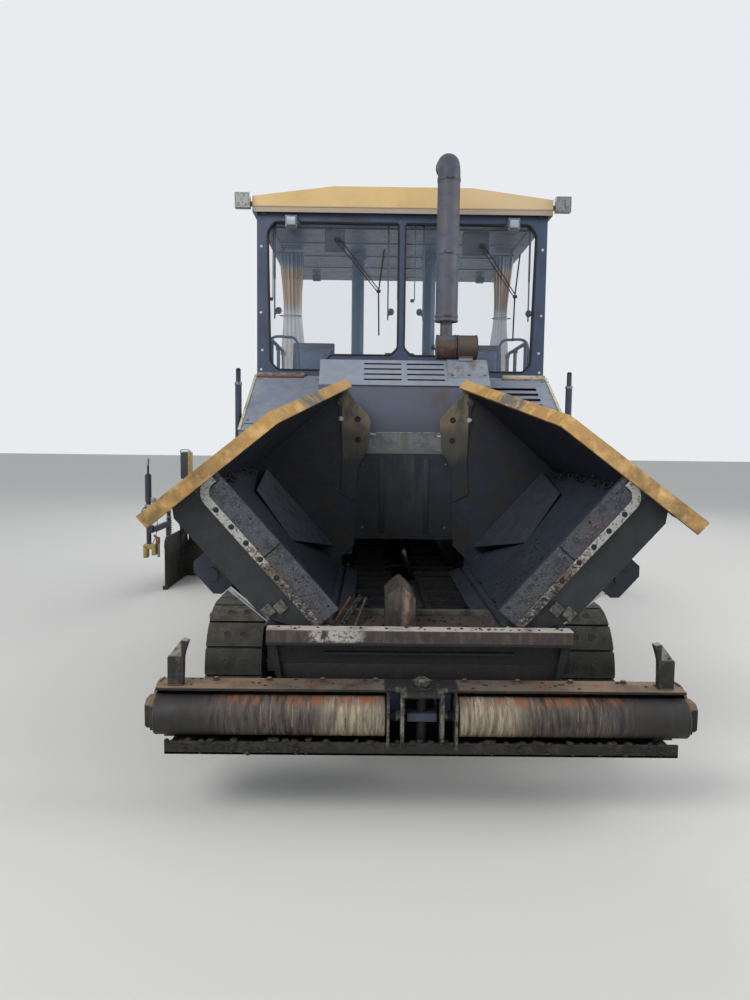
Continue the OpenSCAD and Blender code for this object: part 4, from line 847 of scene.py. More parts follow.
def beam_shell():
    """The beam's plates, its clevis, shaft blocks and hooks."""
    top, foot, back = BEAM_TOP_HALF, BEAM_FOOT_HALF, BEAM_BACK
    shapes = [box((-top, -0.012, BEAM_TOP - BEAM_T), (top, back, BEAM_TOP), 0.003),
              box((-foot, -0.072, BEAM_LOW), (foot, back, BEAM_LOW + BEAM_T), 0.003),
              box((-foot, -0.072, BEAM_LOW), (foot, -0.058, 0.378), 0.003),
              box((-top, back - BEAM_T, 0.54), (top, back, BEAM_TOP - 0.002), 0.002),
              box((-top, back - BEAM_T, BEAM_LOW + 0.002), (top, back, 0.43), 0.002),
              box((-0.098, -0.088, BEAM_TOP - BEAM_T), (0.098, -0.010, BEAM_TOP), 0.004),
              rod((0, 0, BEAM_LOW), (0, 0, BEAM_TOP + 0.022), 0.025, 24),
              rod((0, 0, BEAM_TOP - 0.001), (0, 0, BEAM_TOP + 0.012), 0.046, 32)]
    cheek = rounded_outline([(back - 0.002, 0.345), (back - 0.002, 0.59), (-0.06, 0.59), (-0.088, 0.56),
                             (-0.088, 0.375), (-0.06, 0.345)], 0.012)
    nose = rounded_outline([(back, 0.40), (back, BEAM_TOP), (0.07, BEAM_TOP), (-0.058, 0.536), (-0.058, 0.42),
                            (0.03, 0.40)], 0.014)
    cap = rounded_outline([(-0.048, 0.438), (-0.02, 0.418), (0.044, 0.418), (0.044, 0.556), (-0.02, 0.556),
                           (-0.048, 0.534)], 0.006)
    hook = rounded_outline([(1.096, 0.602), (1.166, 0.602), (1.166, 0.737), (1.152, 0.751), (1.10, 0.819),
                            (1.068, 0.812), (1.084, 0.765), (1.092, 0.731)], 0.006)
    for s in (-1, 1):
        shapes += [box((s * 0.15, back - BEAM_T, 0.428), (s * top, back, 0.542), 0.002),
                   slab(s * CHEEK_X[0], s * (CHEEK_X[0] + 0.016), cheek),
                   slab(s * CHEEK_X[1], s * (CHEEK_X[1] + 0.012), cheek),
                   slab(s * (BEAM_END - 0.014), s * BEAM_END, nose),
                   slab(s * (BEAM_END - 0.002), s * 1.253, cap, 0.003),
                   rod((s * 0.09, 0, ROLLER_Z), (s * 1.22, 0, ROLLER_Z), 0.024, 24)]
        upright = cut_plate([(s * x, z) for x, z in hook], 0.044, 0.003)
        shapes.append(moved(upright, Matrix(((1, 0, 0, 0), (0, 0, -1, ROLLER_Y + 0.062), (0, 1, 0, 0), (0, 0, 0, 1)))))
        for x in (0.42, 0.80):
            shapes.append(slab(s * x, s * (x + 0.012), [(back - 0.012, 0.592), (0.07, 0.592), (back - 0.012, 0.49)]))
    return shapes


def fit_push_beam():
    rng = random.Random(11)
    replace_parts(fit("push_beam_plates", "push_beam", beam_steel, beam_shell()), "push_beam")
    spots = [at(s * x, 0.105, BEAM_TOP) for s in (-1, 1) for x in (0.21, 0.46, 0.71, 0.96)]
    bolts("beam_top_bolts", "push_beam", beam_steel, spots, (0, 0, 1), 0.013, 0.014)
    spots = [at(s * x, -0.088, z) for s in (-1, 1) for x in (0.09, 0.154) for z in (0.40, 0.53)]
    bolts("clevis_bolts", "push_beam", worn_steel_edge, spots, (0, -1, 0), 0.006, 0.007)
    castle = [turned([(0.034, 0), (0.034, 0.022), (0.027, 0.03), (0.014, 0.03), (0.014, 0.006), (0, 0.006)], 6),
              swept([(-0.042, 0, 0.02), (0.042, 0, 0.02)], 0.003, 6)]
    fit("beam_pin_nut", "push_beam", worn_steel_edge, [stood(s, at(0, 0, 0.626), (0, 0, 1)) for s in castle])
    seams, locks = [], []
    for s in (-1, 1):
        for x in (0.148, 0.16):
            seams.append(weld(run((s * x, -0.01, 0.59), (s * x, 0.12, 0.59)), 0.004))
        seams.append(weld(run((s * 1.212, 0.072, 0.604), (s * 1.212, 0.132, 0.604)), 0.005))
        for y in (0.017, 0.063):
            seams.append(weld(run((s * 1.1, y, 0.605), (s * 1.162, y, 0.605)), 0.005))
        for x in (0.42, 0.432, 0.80, 0.812):
            seams.append(weld(run((s * x, 0.08, 0.59), (s * x, 0.124, 0.589), (s * x, 0.124, 0.50)), 0.004))
        # lock plate on the shaft's end
        locks.append(box((s * 1.2535 - 0.002, -0.018, 0.440), (s * 1.2535 + 0.002, 0.018, 0.536), 0.001))
        locks += [stood(b, at(s * 1.2545, 0.0, z), (s, 0, 0)) for z in (0.452, 0.524) for b in hex_bolt(0.009, 0.0055)]
    fit("beam_weld_seams", "push_beam", beam_steel, seams, 80)
    fit("roller_shaft_locks", "push_beam", worn_steel_edge, locks)
    among = rng.uniform
    crust = crumbs(rng, 90, lambda: at(among(-1.15, 1.15), among(-0.072, -0.058), among(0.372, 0.384)),
                   0.006, 0.019, 0.5)
    crust += crumbs(rng, 40, lambda: at(among(-1.18, 1.18), among(0.01, 0.125), 0.605), 0.004, 0.011, 0.4)
    crust += crumbs(rng, 24, lambda: at(rng.choice((-1, 1)) * among(0.17, 1.14), among(0.05, 0.12), 0.335),
                    0.012, 0.026, 0.5)
    crust += crumbs(rng, 50, lambda: at(rng.choice((-1, 1)) * among(0.3, 1.15), -0.073, among(0.322, 0.36)),
                    0.006, 0.014, 0.5)
    fit("beam_bitumen_crust", "push_beam", bitumen_crust, crust, 180)
    for name, s in SIDES.items():
        rings = []
        for x, out in ((0.168, -1), (1.209, 1)):
            seal = turned([(0.026, 0), (0.07, 0), (0.072, 0.004), (0.05, 0.006), (0.047, 0.011), (0.028, 0.011)], 32)
            rings.append(stood(seal, at(s * (x - out * 0.014), 0, ROLLER_Z), (s * out, 0, 0)))
            line = [at(s * x - s * out * 0.003, 0.0885 * math.cos(t), ROLLER_Z + 0.0885 * math.sin(t))
                    for t in circle(40)]
            rings.append(swept(line, 0.0022, 6, closed=True))
        fit(f"roller_end_seals_{name}", f"push_roller_{name}", worn_steel_edge, rings)


# The track's loop, as in the CAD: idler and sprocket, half height, number of shoes, middle of a track
IDLER_Y, SPROCKET_Y, TRACK_R, SHOES = 1.26, 3.89, 0.36, 44
SHOE_STEP = (2 * (SPROCKET_Y - IDLER_Y) + math.tau * TRACK_R) / SHOES
TRACK_MID = 1.0315


def fit_tracks():
    """Two dark bolt holes in every shoe, each with its worn rim."""
    middles = [(IDLER_Y + i * SHOE_STEP + 0.043, TRACK_R * 2 - 0.001, Vector((0, 0, 1)))
               for i in range(int((SPROCKET_Y - IDLER_Y) / SHOE_STEP))]
    for end, first in ((IDLER_Y, 90), (SPROCKET_Y, -90)):
        for n in range(6):
            turn = math.radians(first - 65 + 26 * n)
            out = Vector((0, -math.sin(turn), math.cos(turn)))
            middles.append((end + out.y * (TRACK_R - 0.001), TRACK_R + out.z * (TRACK_R - 0.001), out))
    # the holes are shallow dark discs in bitumen crust: bitumen in them and painted shade
    hole = turned([(0.0185, 0), (0.0185, 0.0024), (0, 0.0024)], 16)
    rim = turned([(0.0235, 0), (0.0225, 0.0030), (0.0188, 0.0036), (0.0184, 0)], 16)
    for name, s in SIDES.items():
        holes, rims = [], []
        for y, z, out in middles:
            for x in (-0.048, 0.048):
                stand = facing(at(s * (TRACK_MID + x), y, z), out)
                holes.append(moved(hole, stand))
                rims.append(moved(rim, stand))
        fit(f"shoe_bolt_holes_{name}", "chassis", bitumen_crust, holes)
        fit(f"shoe_hole_rims_{name}", "chassis", dusty_cast_steel, rims)


# ---------------------------------------------------------------- hopper and wings
def fit_hopper():
    rng = random.Random(5)
    # crossbar below the apron strip
    fit("apron_crossbar", "chassis", rusty_bar, [box((-0.664, 0.2195, 0.546), (0.664, 0.2415, 0.652), 0.004)])
    ribs = [box((x - 0.02, 2.006, 1.06), (x + 0.02, 2.012, 1.6), 0.002) for x in (-0.44, -0.16, 0.16, 0.44)]
    ribs.append(weld(run((-1.12, 2.009, 1.045), (1.12, 2.009, 1.045)), 0.003))
    fit("rear_wall_ribs", "chassis", hopper_steel, ribs, 60)
    spots = [at(s * x, 2.01, z) for s in (-1, 1) for x in (0.3, 0.6, 1.0) for z in (1.1, 1.56)]
    bolts("rear_wall_bolts", "chassis", worn_steel_edge, spots, (0, -1, 0), 0.011, 0.004, round_bolt)
    # slanted rods at the floor's left edge, with a safety chain between them
    fit("floor_rod_rusty", "chassis", rusted_rod, [rod((-0.432, 0.36, 0.795), (-0.347, 0.625, 0.888), 0.0075)])
    fit("floor_rod_dark", "chassis", worn_steel_edge, [rod((-0.316, 0.36, 0.795), (-0.262, 0.625, 0.886), 0.0085)])
    links = []
    start, end = run((-0.392, 0.34, 0.799), (-0.296, 0.625, 0.89))
    link = swept([(0.02 * math.cos(t), 0.011 * math.sin(t), 0) for t in circle(10)], 0.0042, 6, closed=True)
    for n in range(11):
        place = facing(start.lerp(end, n / 10), end - start) @ Matrix.Rotation(math.pi / 2, 4, "Y")
        links.append(moved(link, place @ Matrix.Rotation(n % 2 * 1.4 + 0.2, 4, "X")))
    fit("safety_chain", "chassis", worn_steel_edge, links)
    among = rng.uniform
    mix = crumbs(rng, 70, lambda: at(among(-0.4, 0.4), among(0.26, 0.6), 0.793), 0.005, 0.013, 0.6)
    mix += crumbs(rng, 30, lambda: at(among(-0.7, 0.7), among(0.18, 0.22), 0.834), 0.004, 0.01, 0.5)
    mix += crumbs(rng, 60, lambda: at(among(-0.38, 0.38), among(0.95, 1.9), 0.716), 0.006, 0.014, 0.6)
    fit("hopper_mix_crumbs", "chassis", bitumen_crust, mix, 180)
    cap = turned([(0, 0), (0.024, 0), (0.024, 0.006), (0.016, 0.012), (0, 0.012)], 20)
    fit("hinge_pin_caps", "chassis", zinc_plate, [
        stood(cap, at(s * HINGE_X, y, HINGE_Z), (0, out, 0)) for s in (-1, 1) for y, out in ((0.300, -1), (1.980, 1))])


def fit_wing(name, s):
    """What rides on one wing, placed in its own measures by here()."""
    rng = random.Random(20 + s)
    frame_here = wing_frame(s)
    body = f"wing_{name}"
    forward = (0, -1, 0)

    def here(a, y, b):
        return frame_here @ Vector((a, y, b))

    # strip bolted along the flaps' lower edge, turned up as a hook at its outer end
    low, high, bend = -0.032, 0.010, (0.855, 0.058)
    quarter = [math.radians(n * 15) for n in range(7)]
    hook = [(bend[0] + 0.09 * math.sin(t), bend[1] - 0.09 * math.cos(t)) for t in quarter]
    back = [(bend[0] + 0.048 * math.sin(t), bend[1] - 0.048 * math.cos(t)) for t in reversed(quarter)]
    outline = [(0.046, high), (0.046, low)] + hook + [(0.945, 0.084), (0.903, 0.084)] + back
    fit(f"flap_edge_strip_{name}", body, edge_strip, [wing_plate(frame_here, 0.256, 0.2645, outline)])
    # two square lugs at the front plate's inner corner
    fit(f"skirt_lugs_{name}", body, rubbed_lug, [
        wing_plate(frame_here, 0.262, 0.279, corners(a - 0.027, b - 0.027, a + 0.027, b + 0.027))
        for a, b in ((0.264, -0.152), (0.238, -0.092))])
    # doubler over the rear plate's upper corner, and the plate that throws the mix forward off it
    fit(f"rear_plate_doubler_{name}", body, wing_paint, [wing_plate(frame_here, 1.977, 1.9855, [
        (0.30, 0.405), (0.47, 0.573), (0.524, 0.724), (0.603, 0.802), (0.657, 0.858), (0.688, 0.872),
        (0.943, 0.872), (0.943, 0.80), (0.62, 0.56), (0.42, 0.36)])])
    sheet = cut_plate([(0.41, 0), (0.80, 0.15), (0.89, 0.722), (0.16, 0.722)], 0.008)
    tilt = frame_here @ Matrix.Translation((0, 1.25, -0.003)) @ Matrix.Rotation(math.radians(6), 4, "X")
    fit(f"wing_deflector_{name}", body, deflector_plate, [moved(sheet, tilt)])
    spots = [here(a, 0.2565, -0.008) for a in (0.36, 0.48, 0.585, 0.69, 0.80)]
    bolts(f"edge_strip_bolts_{name}", body, black_rubber, spots, forward, 0.0105, 0.005)
    spots = [here(0.09 + n * 0.19, 0.2645, 0.088) for n in range(5)]
    bolts(f"flap_bolts_{name}", body, black_rubber, spots, forward, 0.007, 0.003, round_bolt)
    # bright bolt and two dull discs in the wing's rear corner, and the disc on the front plate's lug
    fit(f"rear_plate_bolt_{name}", body, white_bolt, bolt_at(here(0.811, 1.9775, 0.712), forward, 0.013, 0.012))
    disc = turned([(0.027, 0), (0.026, 0.0025), (0.018, 0.0035), (0, 0.0035)], 28)
    # two dark discs in bitumen crust stand for holes: bitumen in them and painted shade
    holes = turned([(0.022, 0), (0.0205, 0.0016), (0.0175, 0.0018), (0.0165, 0.0004), (0, 0.0004)], 24)
    fit(f"rear_plate_holes_{name}", body, bitumen_crust,
        [stood(holes, here(a, 1.9772, b), forward) for a, b in ((0.731, 0.80), (0.621, 0.706))])
    discs = [stood(disc, here(0.905, 1.9775, 0.79), forward)]
    ring = turned([(0.027, 0), (0.026, 0.004), (0.019, 0.005), (0.017, 0.001), (0, 0.001)], 28)
    if name == "right":
        discs.append(stood(ring, here(0.24, 0.2625, -0.092), forward))
    fit(f"wing_discs_{name}", body, worn_steel_edge, discs)
    seams = [weld([here(0.951, 0.30, 0.004), here(0.951, 1.98, 0.004)], 0.006),
             weld([here(0.1, 1.983, 0.003), here(0.95, 1.983, 0.003)], 0.006)]
    seams += [weld([here(0.13, y, -0.014), here(0.945, y, -0.014)], 0.004) for y in (0.652, 1.252, 1.852)]
    fit(f"wing_weld_seams_{name}", body, bitumen_film, seams, 80)
    among = rng.uniform
    mix = crumbs(rng, 60, lambda: here(among(0.05, 0.5), among(0.32, 1.2), 0.003), 0.004, 0.011, 0.5)
    mix += crumbs(rng, 50, lambda: here(among(0.9, 0.95), among(0.32, 1.95), among(0.002, 0.05)), 0.006, 0.014, 0.7)
    mix += crumbs(rng, 60, lambda: here(among(0.06, 0.46), 0.258, among(-0.03, 0.008)), 0.003, 0.008)
    mix += crumbs(rng, 26, lambda: here(among(0.06, 0.46), 0.265, among(0.015, 0.1)), 0.003, 0.006)
    fit(f"wing_mix_crust_{name}", body, bitumen_crust, mix, 180)


# ---------------------------------------------------------------- bonnet, hoods and exhaust
def fit_bonnet():
    vanes = []
    for x in (-0.16, 0.16):
        for i in range(4):
            z = 2.135 + 0.041 + i * 0.042
            y = 2.15 + (z - 2.135) * 1.05
            lip = run((x, y - 0.004, z + 0.006), (x, y + 0.012, z + 0.004), (x, y + 0.03, z - 0.012))
            vanes.append(ribbon(lip, (0.272, 0, 0), 0.0016))
    fit("bonnet_louvre_vanes", "chassis", slate_enamel, vanes, 60)
    seams = [rod((-0.47, 2.1465, 2.128), (0.47, 2.1465, 2.128), 0.003, 6)]
    seams += [rod((x, 2.1465, 1.80), (x, 2.1465, 2.128), 0.003, 6) for x in (-0.47, 0.47)]
    fit("bonnet_panel_seams", "chassis", black_rubber, seams)
    latches = []
    for x in (-0.38, 0.38):
        latches.append(box((x - 0.022, 2.134, 1.88), (x + 0.022, 2.152, 1.96), 0.006, 3))
        pull = run((x, 2.138, 1.895), (x, 2.12, 1.905), (x, 2.12, 1.945), (x, 2.138, 1.955))
        latches.append(swept(smoothed(pull, 4), 0.005, 8))
    fit("bonnet_latches", "chassis", zinc_plate, latches)
    kick = facing(at(0, 2.08, 1.711), (0, -0.757, 0.654))
    fit("bonnet_kick_plate", "chassis", scraped_plate,
        [moved(cut_plate([(-0.30, -0.104), (0.33, -0.104), (0.285, 0.1), (-0.262, 0.1)], 0.005), kick)])
    # a pale strip along the kick plate's top edge: a painted highlight
    fit("kick_plate_painted_highlight", "chassis", edge_highlight_paint,
        [moved(block((-0.262, 0.094, 0.0045), (0.285, 0.1, 0.0075), 0.001), kick)])
    marks = [moved(block((x - 0.02, y - 0.005, 0.0045), (x + 0.02, y + 0.005, 0.0065), 0.001),
                   kick @ Matrix.Rotation(t, 4, "Z")) for x, y, t in ((-0.237, 0.052, -0.12), (0.262, 0.058, 0.03))]
    fit("kick_plate_marks", "chassis", white_bolt, marks)
    spots = [at(s * x, 2.149, z) for s in (-1, 1) for x in (0.44, 0.59) for z in (1.84, 2.09)]
    bolts("bonnet_bolts", "chassis", zinc_plate, spots, (0, -1, 0), 0.009, 0.008)


# Exhaust: the stack's place, and the height of the drums it folds on
STACK_X, STACK_Y, DRUM_Z = 0.32, 2.4, 2.44


def fit_exhaust():
    band = turned([(0.0845, 0), (0.0875, 0.001), (0.0875, 0.024), (0.0845, 0.025)], 40)
    shapes = [stood(band, at(STACK_X, STACK_Y, z), (0, 0, 1)) for z in (2.66, 3.12, 3.66)]
    for z in (2.672, 3.132, 3.672):
        shapes.append(box((0.302, 2.305, z - 0.009), (0.338, 2.317, z + 0.009), 0.003))
        shapes.append(rod((0.29, 2.311, z), (0.35, 2.311, z), 0.0045, 8))
    fit("exhaust_band_clamps", "exhaust_stack", heat_browned_steel, shapes)
    lip = turned([(0.0846, 0), (0.0885, -0.003), (0.0885, 0.012), (0.0846, 0.015)], 40)
    fit("exhaust_lip_and_seam", "exhaust_stack", heat_browned_steel, [
        stood(lip, at(STACK_X, STACK_Y, 2.634), (0, 0, 1)), stood(lip, at(STACK_X, STACK_Y + 0.141, 3.81), (0, 1, 0)),
        weld(run((STACK_X, STACK_Y + 0.0845, 2.66), (STACK_X, STACK_Y + 0.0845, 3.7)), 0.0025)])
    rim = turned([(0.09, 0), (0.0955, 0.001), (0.0955, 0.01), (0.09, 0.011)], 40)
    drums = [[stood(rim, at(x, STACK_Y, DRUM_Z), (1, 0, 0)) for x in pair] for pair in ((0.246, 0.383), (0.402, 0.543))]
    for x, out in ((0.556, 1), (0.226, -1)):
        drums[1] += bolt_at(at(x, STACK_Y, DRUM_Z), (out, 0, 0), 0.019, 0.018)
    fit("drum_rims_folding", "exhaust_stack", burnt_steel, drums[0])
    fit("drum_rims_fixed", "chassis", burnt_steel, drums[1])
    spots = [at(x, 2.235, 2.2205) for x in (0.36, 0.48, 0.6)]
    bolts("exhaust_seat_bolts", "chassis", zinc_plate, spots, (0, -0.7, 0.7), 0.011, 0.01)


# Side hoods: front edge, where the slope turns level and ends, top, sheet thickness, inner and outer side
HOOD_FRONT, HOOD_FLAT, HOOD_BACK, HOOD_TOP, SKIN = (2.022, 1.789), 2.83, 2.985, 2.25, 0.006
HOOD_IN, HOOD_OUT = 0.630, 1.200
# Service door: from and to, back and up; places of the walls' lower edge, rear end and platform edge
DOOR = (2.44, 3.36, 1.01, 1.52)
WALL_LOW, WALL_END, DECK = 0.79, 4.4, 1.636
HINGE_PIN_X = 1.212


def hood_height(y):
    """Height of the side hoods' slope at a place back from the rollers."""
    return HOOD_FRONT[1] + (HOOD_TOP - HOOD_FRONT[1]) / (HOOD_FLAT - HOOD_FRONT[0]) * (y - HOOD_FRONT[0])


def sloping(x0, x1, y0, y1):
    """A piece of the slope's skin."""
    return slab(x0, x1, [(y0, hood_height(y0)), (y1, hood_height(y1)), (y1, hood_height(y1) - SKIN),
                         (y0, hood_height(y0) - SKIN)], 0)


def fit_side_hoods():
    front, low = HOOD_FRONT
    walls = []
    for s in (-1, 1):
        # the right slope is cut for its louvres
        slots = [(2.39 + 0.08 * i, 2.45 + 0.08 * i) for i in range(4)] if s > 0 else []
        edges = [front] + [y for slot in slots for y in slot] + [HOOD_FLAT]
        walls += [sloping(s * 0.70, s * 1.075, a, b) for a, b in zip(edges[::2], edges[1::2])]
        walls += [sloping(s * HOOD_IN, s * 0.70, front, HOOD_FLAT), sloping(s * 1.075, s * HOOD_OUT, front, HOOD_FLAT)]
        walls.append(slab(s * HOOD_IN, s * HOOD_OUT, [(HOOD_FLAT, HOOD_TOP), (HOOD_BACK, HOOD_TOP),
                                                      (HOOD_BACK, HOOD_TOP - SKIN), (HOOD_FLAT, HOOD_TOP - SKIN)], 0))
        walls.append(slab(s * HOOD_IN, s * HOOD_OUT, [(front, 1.616), (front, low - 0.001), (front + SKIN, low - 0.001),
                                                      (front + SKIN, 1.616)], 0))
        walls.append(slab(s * HOOD_IN, s * (HOOD_IN + SKIN),
                          [(front, 1.616), (front, low - 0.002), (2.21, hood_height(2.21) - 0.002), (2.21, 1.616)]))
        # side wall round the service door
        y0, y1, z0, z1 = DOOR
        for wall in ([(front, WALL_LOW), (y0, WALL_LOW), (y0, hood_height(y0)), (front, low)],
                     [(y0, WALL_LOW), (y1, WALL_LOW), (y1, z0), (y0, z0)],
                     [(y0, z1), (3.055, z1), (3.055, HOOD_TOP), (HOOD_FLAT, HOOD_TOP), (y0, hood_height(y0))],
                     [(y1, WALL_LOW), (WALL_END, WALL_LOW), (WALL_END, DECK), (3.055, DECK), (3.055, z1), (y1, z1)]):
            walls.append(slab(s * (HOOD_OUT - SKIN), s * HOOD_OUT, wall, 0))
        walls.append(box((s * 0.48, WALL_END - SKIN, WALL_LOW), (s * HOOD_OUT, WALL_END, DECK), 0))
        # hinge of the service door
        pin_x, pin_y = s * HINGE_PIN_X, y0 + 0.016
        for z in (z0 + 0.04, z1 - 0.069):
            for a, b, in_x in ((y0 - 0.024, y0 - 0.002, HOOD_OUT), (y0 - 0.002, pin_y, HOOD_OUT + 0.002)):
                walls.append(box((s * in_x, a, z), (s * 1.222, b, z + 0.0286), 0.001, 1))
            walls.append(rod((pin_x, pin_y, z), (pin_x, pin_y, z + 0.0286), 0.010, 16))
        walls.append(rod((pin_x, pin_y, z0 + 0.05), (pin_x, pin_y, z1 - 0.05), 0.007, 12))
    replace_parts(fit("hood_panels", "chassis", hood_enamel, walls), "hood_sides")
    slope = (0, -0.4955, 0.8686)
    for name, s in SIDES.items():
        edge = run((s * 1.19, 2.024, 1.7915), (s * 1.19, 2.83, 2.2525), (s * 1.19, 2.98, 2.2525))
        fit(f"hood_edge_trim_{name}", "chassis", ivory_trim,
            [ribbon(edge, (s * 0.02, 0, 0), -s * 0.005 if s > 0 else 0.005)])
        spots = [at(s * x, y, hood_height(y)) for x in (0.68, 1.15) for y in (2.16, 2.77)]
        bolts(f"hood_bolts_{name}", "chassis", zinc_plate, spots, slope, 0.009, 0.007)
        seam = [swept([at(s * 0.655, y, hood_height(y) + 0.001) for y in (2.05, 2.80)], 0.003, 6),
                swept([at(s * x, 2.11, hood_height(2.11) + 0.001) for x in (0.655, 1.17)], 0.003, 6)]
        fit(f"hood_panel_seam_{name}", "chassis", black_rubber, seam)
    # bars across the top of the slope: the left one rusty, the right one ivory, with a rod beside the left
    for name, x0, x1, upper, lower in (("left", -1.18, -0.79, dusty_rust, rusted_rod),
                                       ("right", 0.83, 1.178, ivory_trim, dusty_rust)):
        fit(f"cowl_bar_{name}", "chassis", upper, [box((x0, 2.795, 2.240), (x1, 2.826, 2.270), 0.004)])
        fit(f"cowl_bar_foot_{name}", "chassis", lower,
            [box((x0 + 0.004, 2.788, 2.220), (x1 - 0.004, 2.820, 2.241), 0.003)])
    fit("cowl_rod_left", "chassis", worn_steel_edge, [rod((-0.79, 2.84, 2.2575), (-0.635, 2.84, 2.2575), 0.008)])
    pan = [(y, hood_height(y) - down) for y, down in ((2.35, 0.07), (2.86, 0.07), (2.86, 0.074), (2.35, 0.074))]
    fit("hood_louvre_pan_right", "chassis", black_rubber, [slab(0.66, 1.12, pan, 0)])
    vanes = []
    for i in range(4):
        y = 2.42 + i * 0.08
        lip = [(0.030, -0.001), (0.012, 0.008), (-0.012, 0.009)]
        vanes.append(ribbon([at(0.8875, y + back, hood_height(y + back) + up) for back, up in lip], (0.365, 0, 0),
                            0.0016))
    fit("hood_louvre_vanes_right", "chassis", hood_enamel, vanes, 60)


# ---------------------------------------------------------------- windshield and roof
PANE = [(0.028, 3.52), (0.028, 2.5), (0.088, 2.44), (0.59, 2.44), (0.68, 2.312), (1.03, 2.312), (1.096, 2.38),
        (1.118, 3.44), (1.06, 3.52)]


def fit_windshield():
    seals = []
    for s in SIDES.values():
        outline = rounded_outline([(s * x, z) for x, z in PANE], 0.024)
        seals.append(swept([at(p.x, 2.984, p.y) for p in outline], 0.0075, 8, closed=True))
        seals.append(swept([at(p.x, 3.032, p.y) for p in outline], 0.006, 8, closed=True))
    fit("pane_rubber_seals", "chassis", black_rubber, seals)
    # wipers: corners of the motor's box, its hub, the arm's tip, the blade's ends
    for name, box_low, box_high, hub, tip, top, foot in (
            ("left", (-0.648, 3.31), (-0.478, 3.485), (-0.541, 3.397), (-0.192, 2.973), (-0.147, 3.322),
             (-0.185, 2.61)),
            ("right", (0.515, 3.295), (0.735, 3.485), (0.671, 3.353), (0.955, 2.943), (0.99, 3.291), (0.948, 2.58))):
        housing = [box((box_low[0], 3.05, box_low[1]), (box_high[0], 3.13, box_high[1]), 0.012, 3),
                   rod((hub[0], 3.012, hub[1]), (hub[0], 3.06, hub[1]), 0.012, 12)]
        fit(f"wiper_motor_{name}", "chassis", black_rubber, housing)
        start, end = Vector((hub[0], 0, hub[1])), Vector((tip[0], 0, tip[1]))
        side = (end - start).cross(Vector((0, 1, 0))).normalized() * 0.016
        rods = [swept([at(p.x, 3.014, p.z) for p in (start + side * k, end + side * k * 0.6)], 0.0042, 8)
                for k in (-1, 1)]
        rods.append(box((tip[0] - 0.018, 3.008, tip[1] - 0.012), (tip[0] + 0.018, 3.022, tip[1] + 0.012), 0.004))
        rods.append(box((hub[0] - 0.024, 3.006, hub[1] - 0.02), (hub[0] + 0.024, 3.022, hub[1] + 0.02), 0.006))
        fit(f"wiper_arm_{name}", "chassis", black_rubber, rods)
        upper, lower = Vector((top[0], 0, top[1])), Vector((foot[0], 0, foot[1]))
        joint = Vector((tip[0], 0, tip[1]))
        blade = [ribbon([at(p.x, 3.029, p.z) for p in (upper, joint, lower)], (0.012, 0, 0), 0.003),
                 swept([at(p.x, 3.0315, p.z) for p in (upper, joint, lower)], 0.0032, 6)]
        for near, far in ((joint, upper), (joint, lower)):
            blade.append(swept([at(p.x, y, p.z) for p, y in ((near, 3.016), (near.lerp(far, 0.45), 3.017),
                                                             (near.lerp(far, 0.62), 3.029))], 0.0035, 6))
        fit(f"wiper_blade_{name}", "chassis", black_rubber, blade)
    # gas springs and round knobs that hold the opening panes
    springs, knobs = [], []
    for x, knob_x in ((-1.085, -1.052), (-0.108, -0.082), (0.196, 0.166), (1.108, 1.112)):
        springs.append(rod((x, 3.2, 3.583), (x, 3.2, 3.1), 0.009, 12))
        springs.append(rod((x, 3.2, 3.1), (x, 3.2, 2.765), 0.0065))
        ball = turned([(0, -0.03), (0.014, -0.027), (0.024, -0.017), (0.029, 0), (0.024, 0.017), (0.014, 0.027),
                       (0, 0.03)], 20)
        knobs.append(moved(ball, Matrix.Translation(at(knob_x, 3.2, 2.835))))
        knobs.append(rod((x, 3.2, 2.8), (knob_x, 3.2, 2.83), 0.008, 8))
    for x, foot_x in ((-1.1, -1.115), (-0.026, -0.003), (0.121, 0.102), (1.158, 1.17)):
        springs.append(rod((x, 3.2, 3.583), (x, 3.2, 2.935), 0.0045, 8))
        knobs.append(box((foot_x - 0.017, 3.188, 2.918), (foot_x + 0.017, 3.212, 2.945), 0.006))
    fit("pane_gas_springs", "chassis", cab_enamel, springs)
    fit("pane_spring_knobs", "chassis", moulded_abs, knobs)
    spots = [at(s * x, 2.984, z) for s in (-1, 1)
             for x, z in ((1.168, 3.32), (1.172, 2.78), (1.16, 2.47), (1.17, 2.31))]
    bolts("cab_post_bolts", "chassis", white_bolt, spots, (0, -1, 0), 0.0085, 0.007)


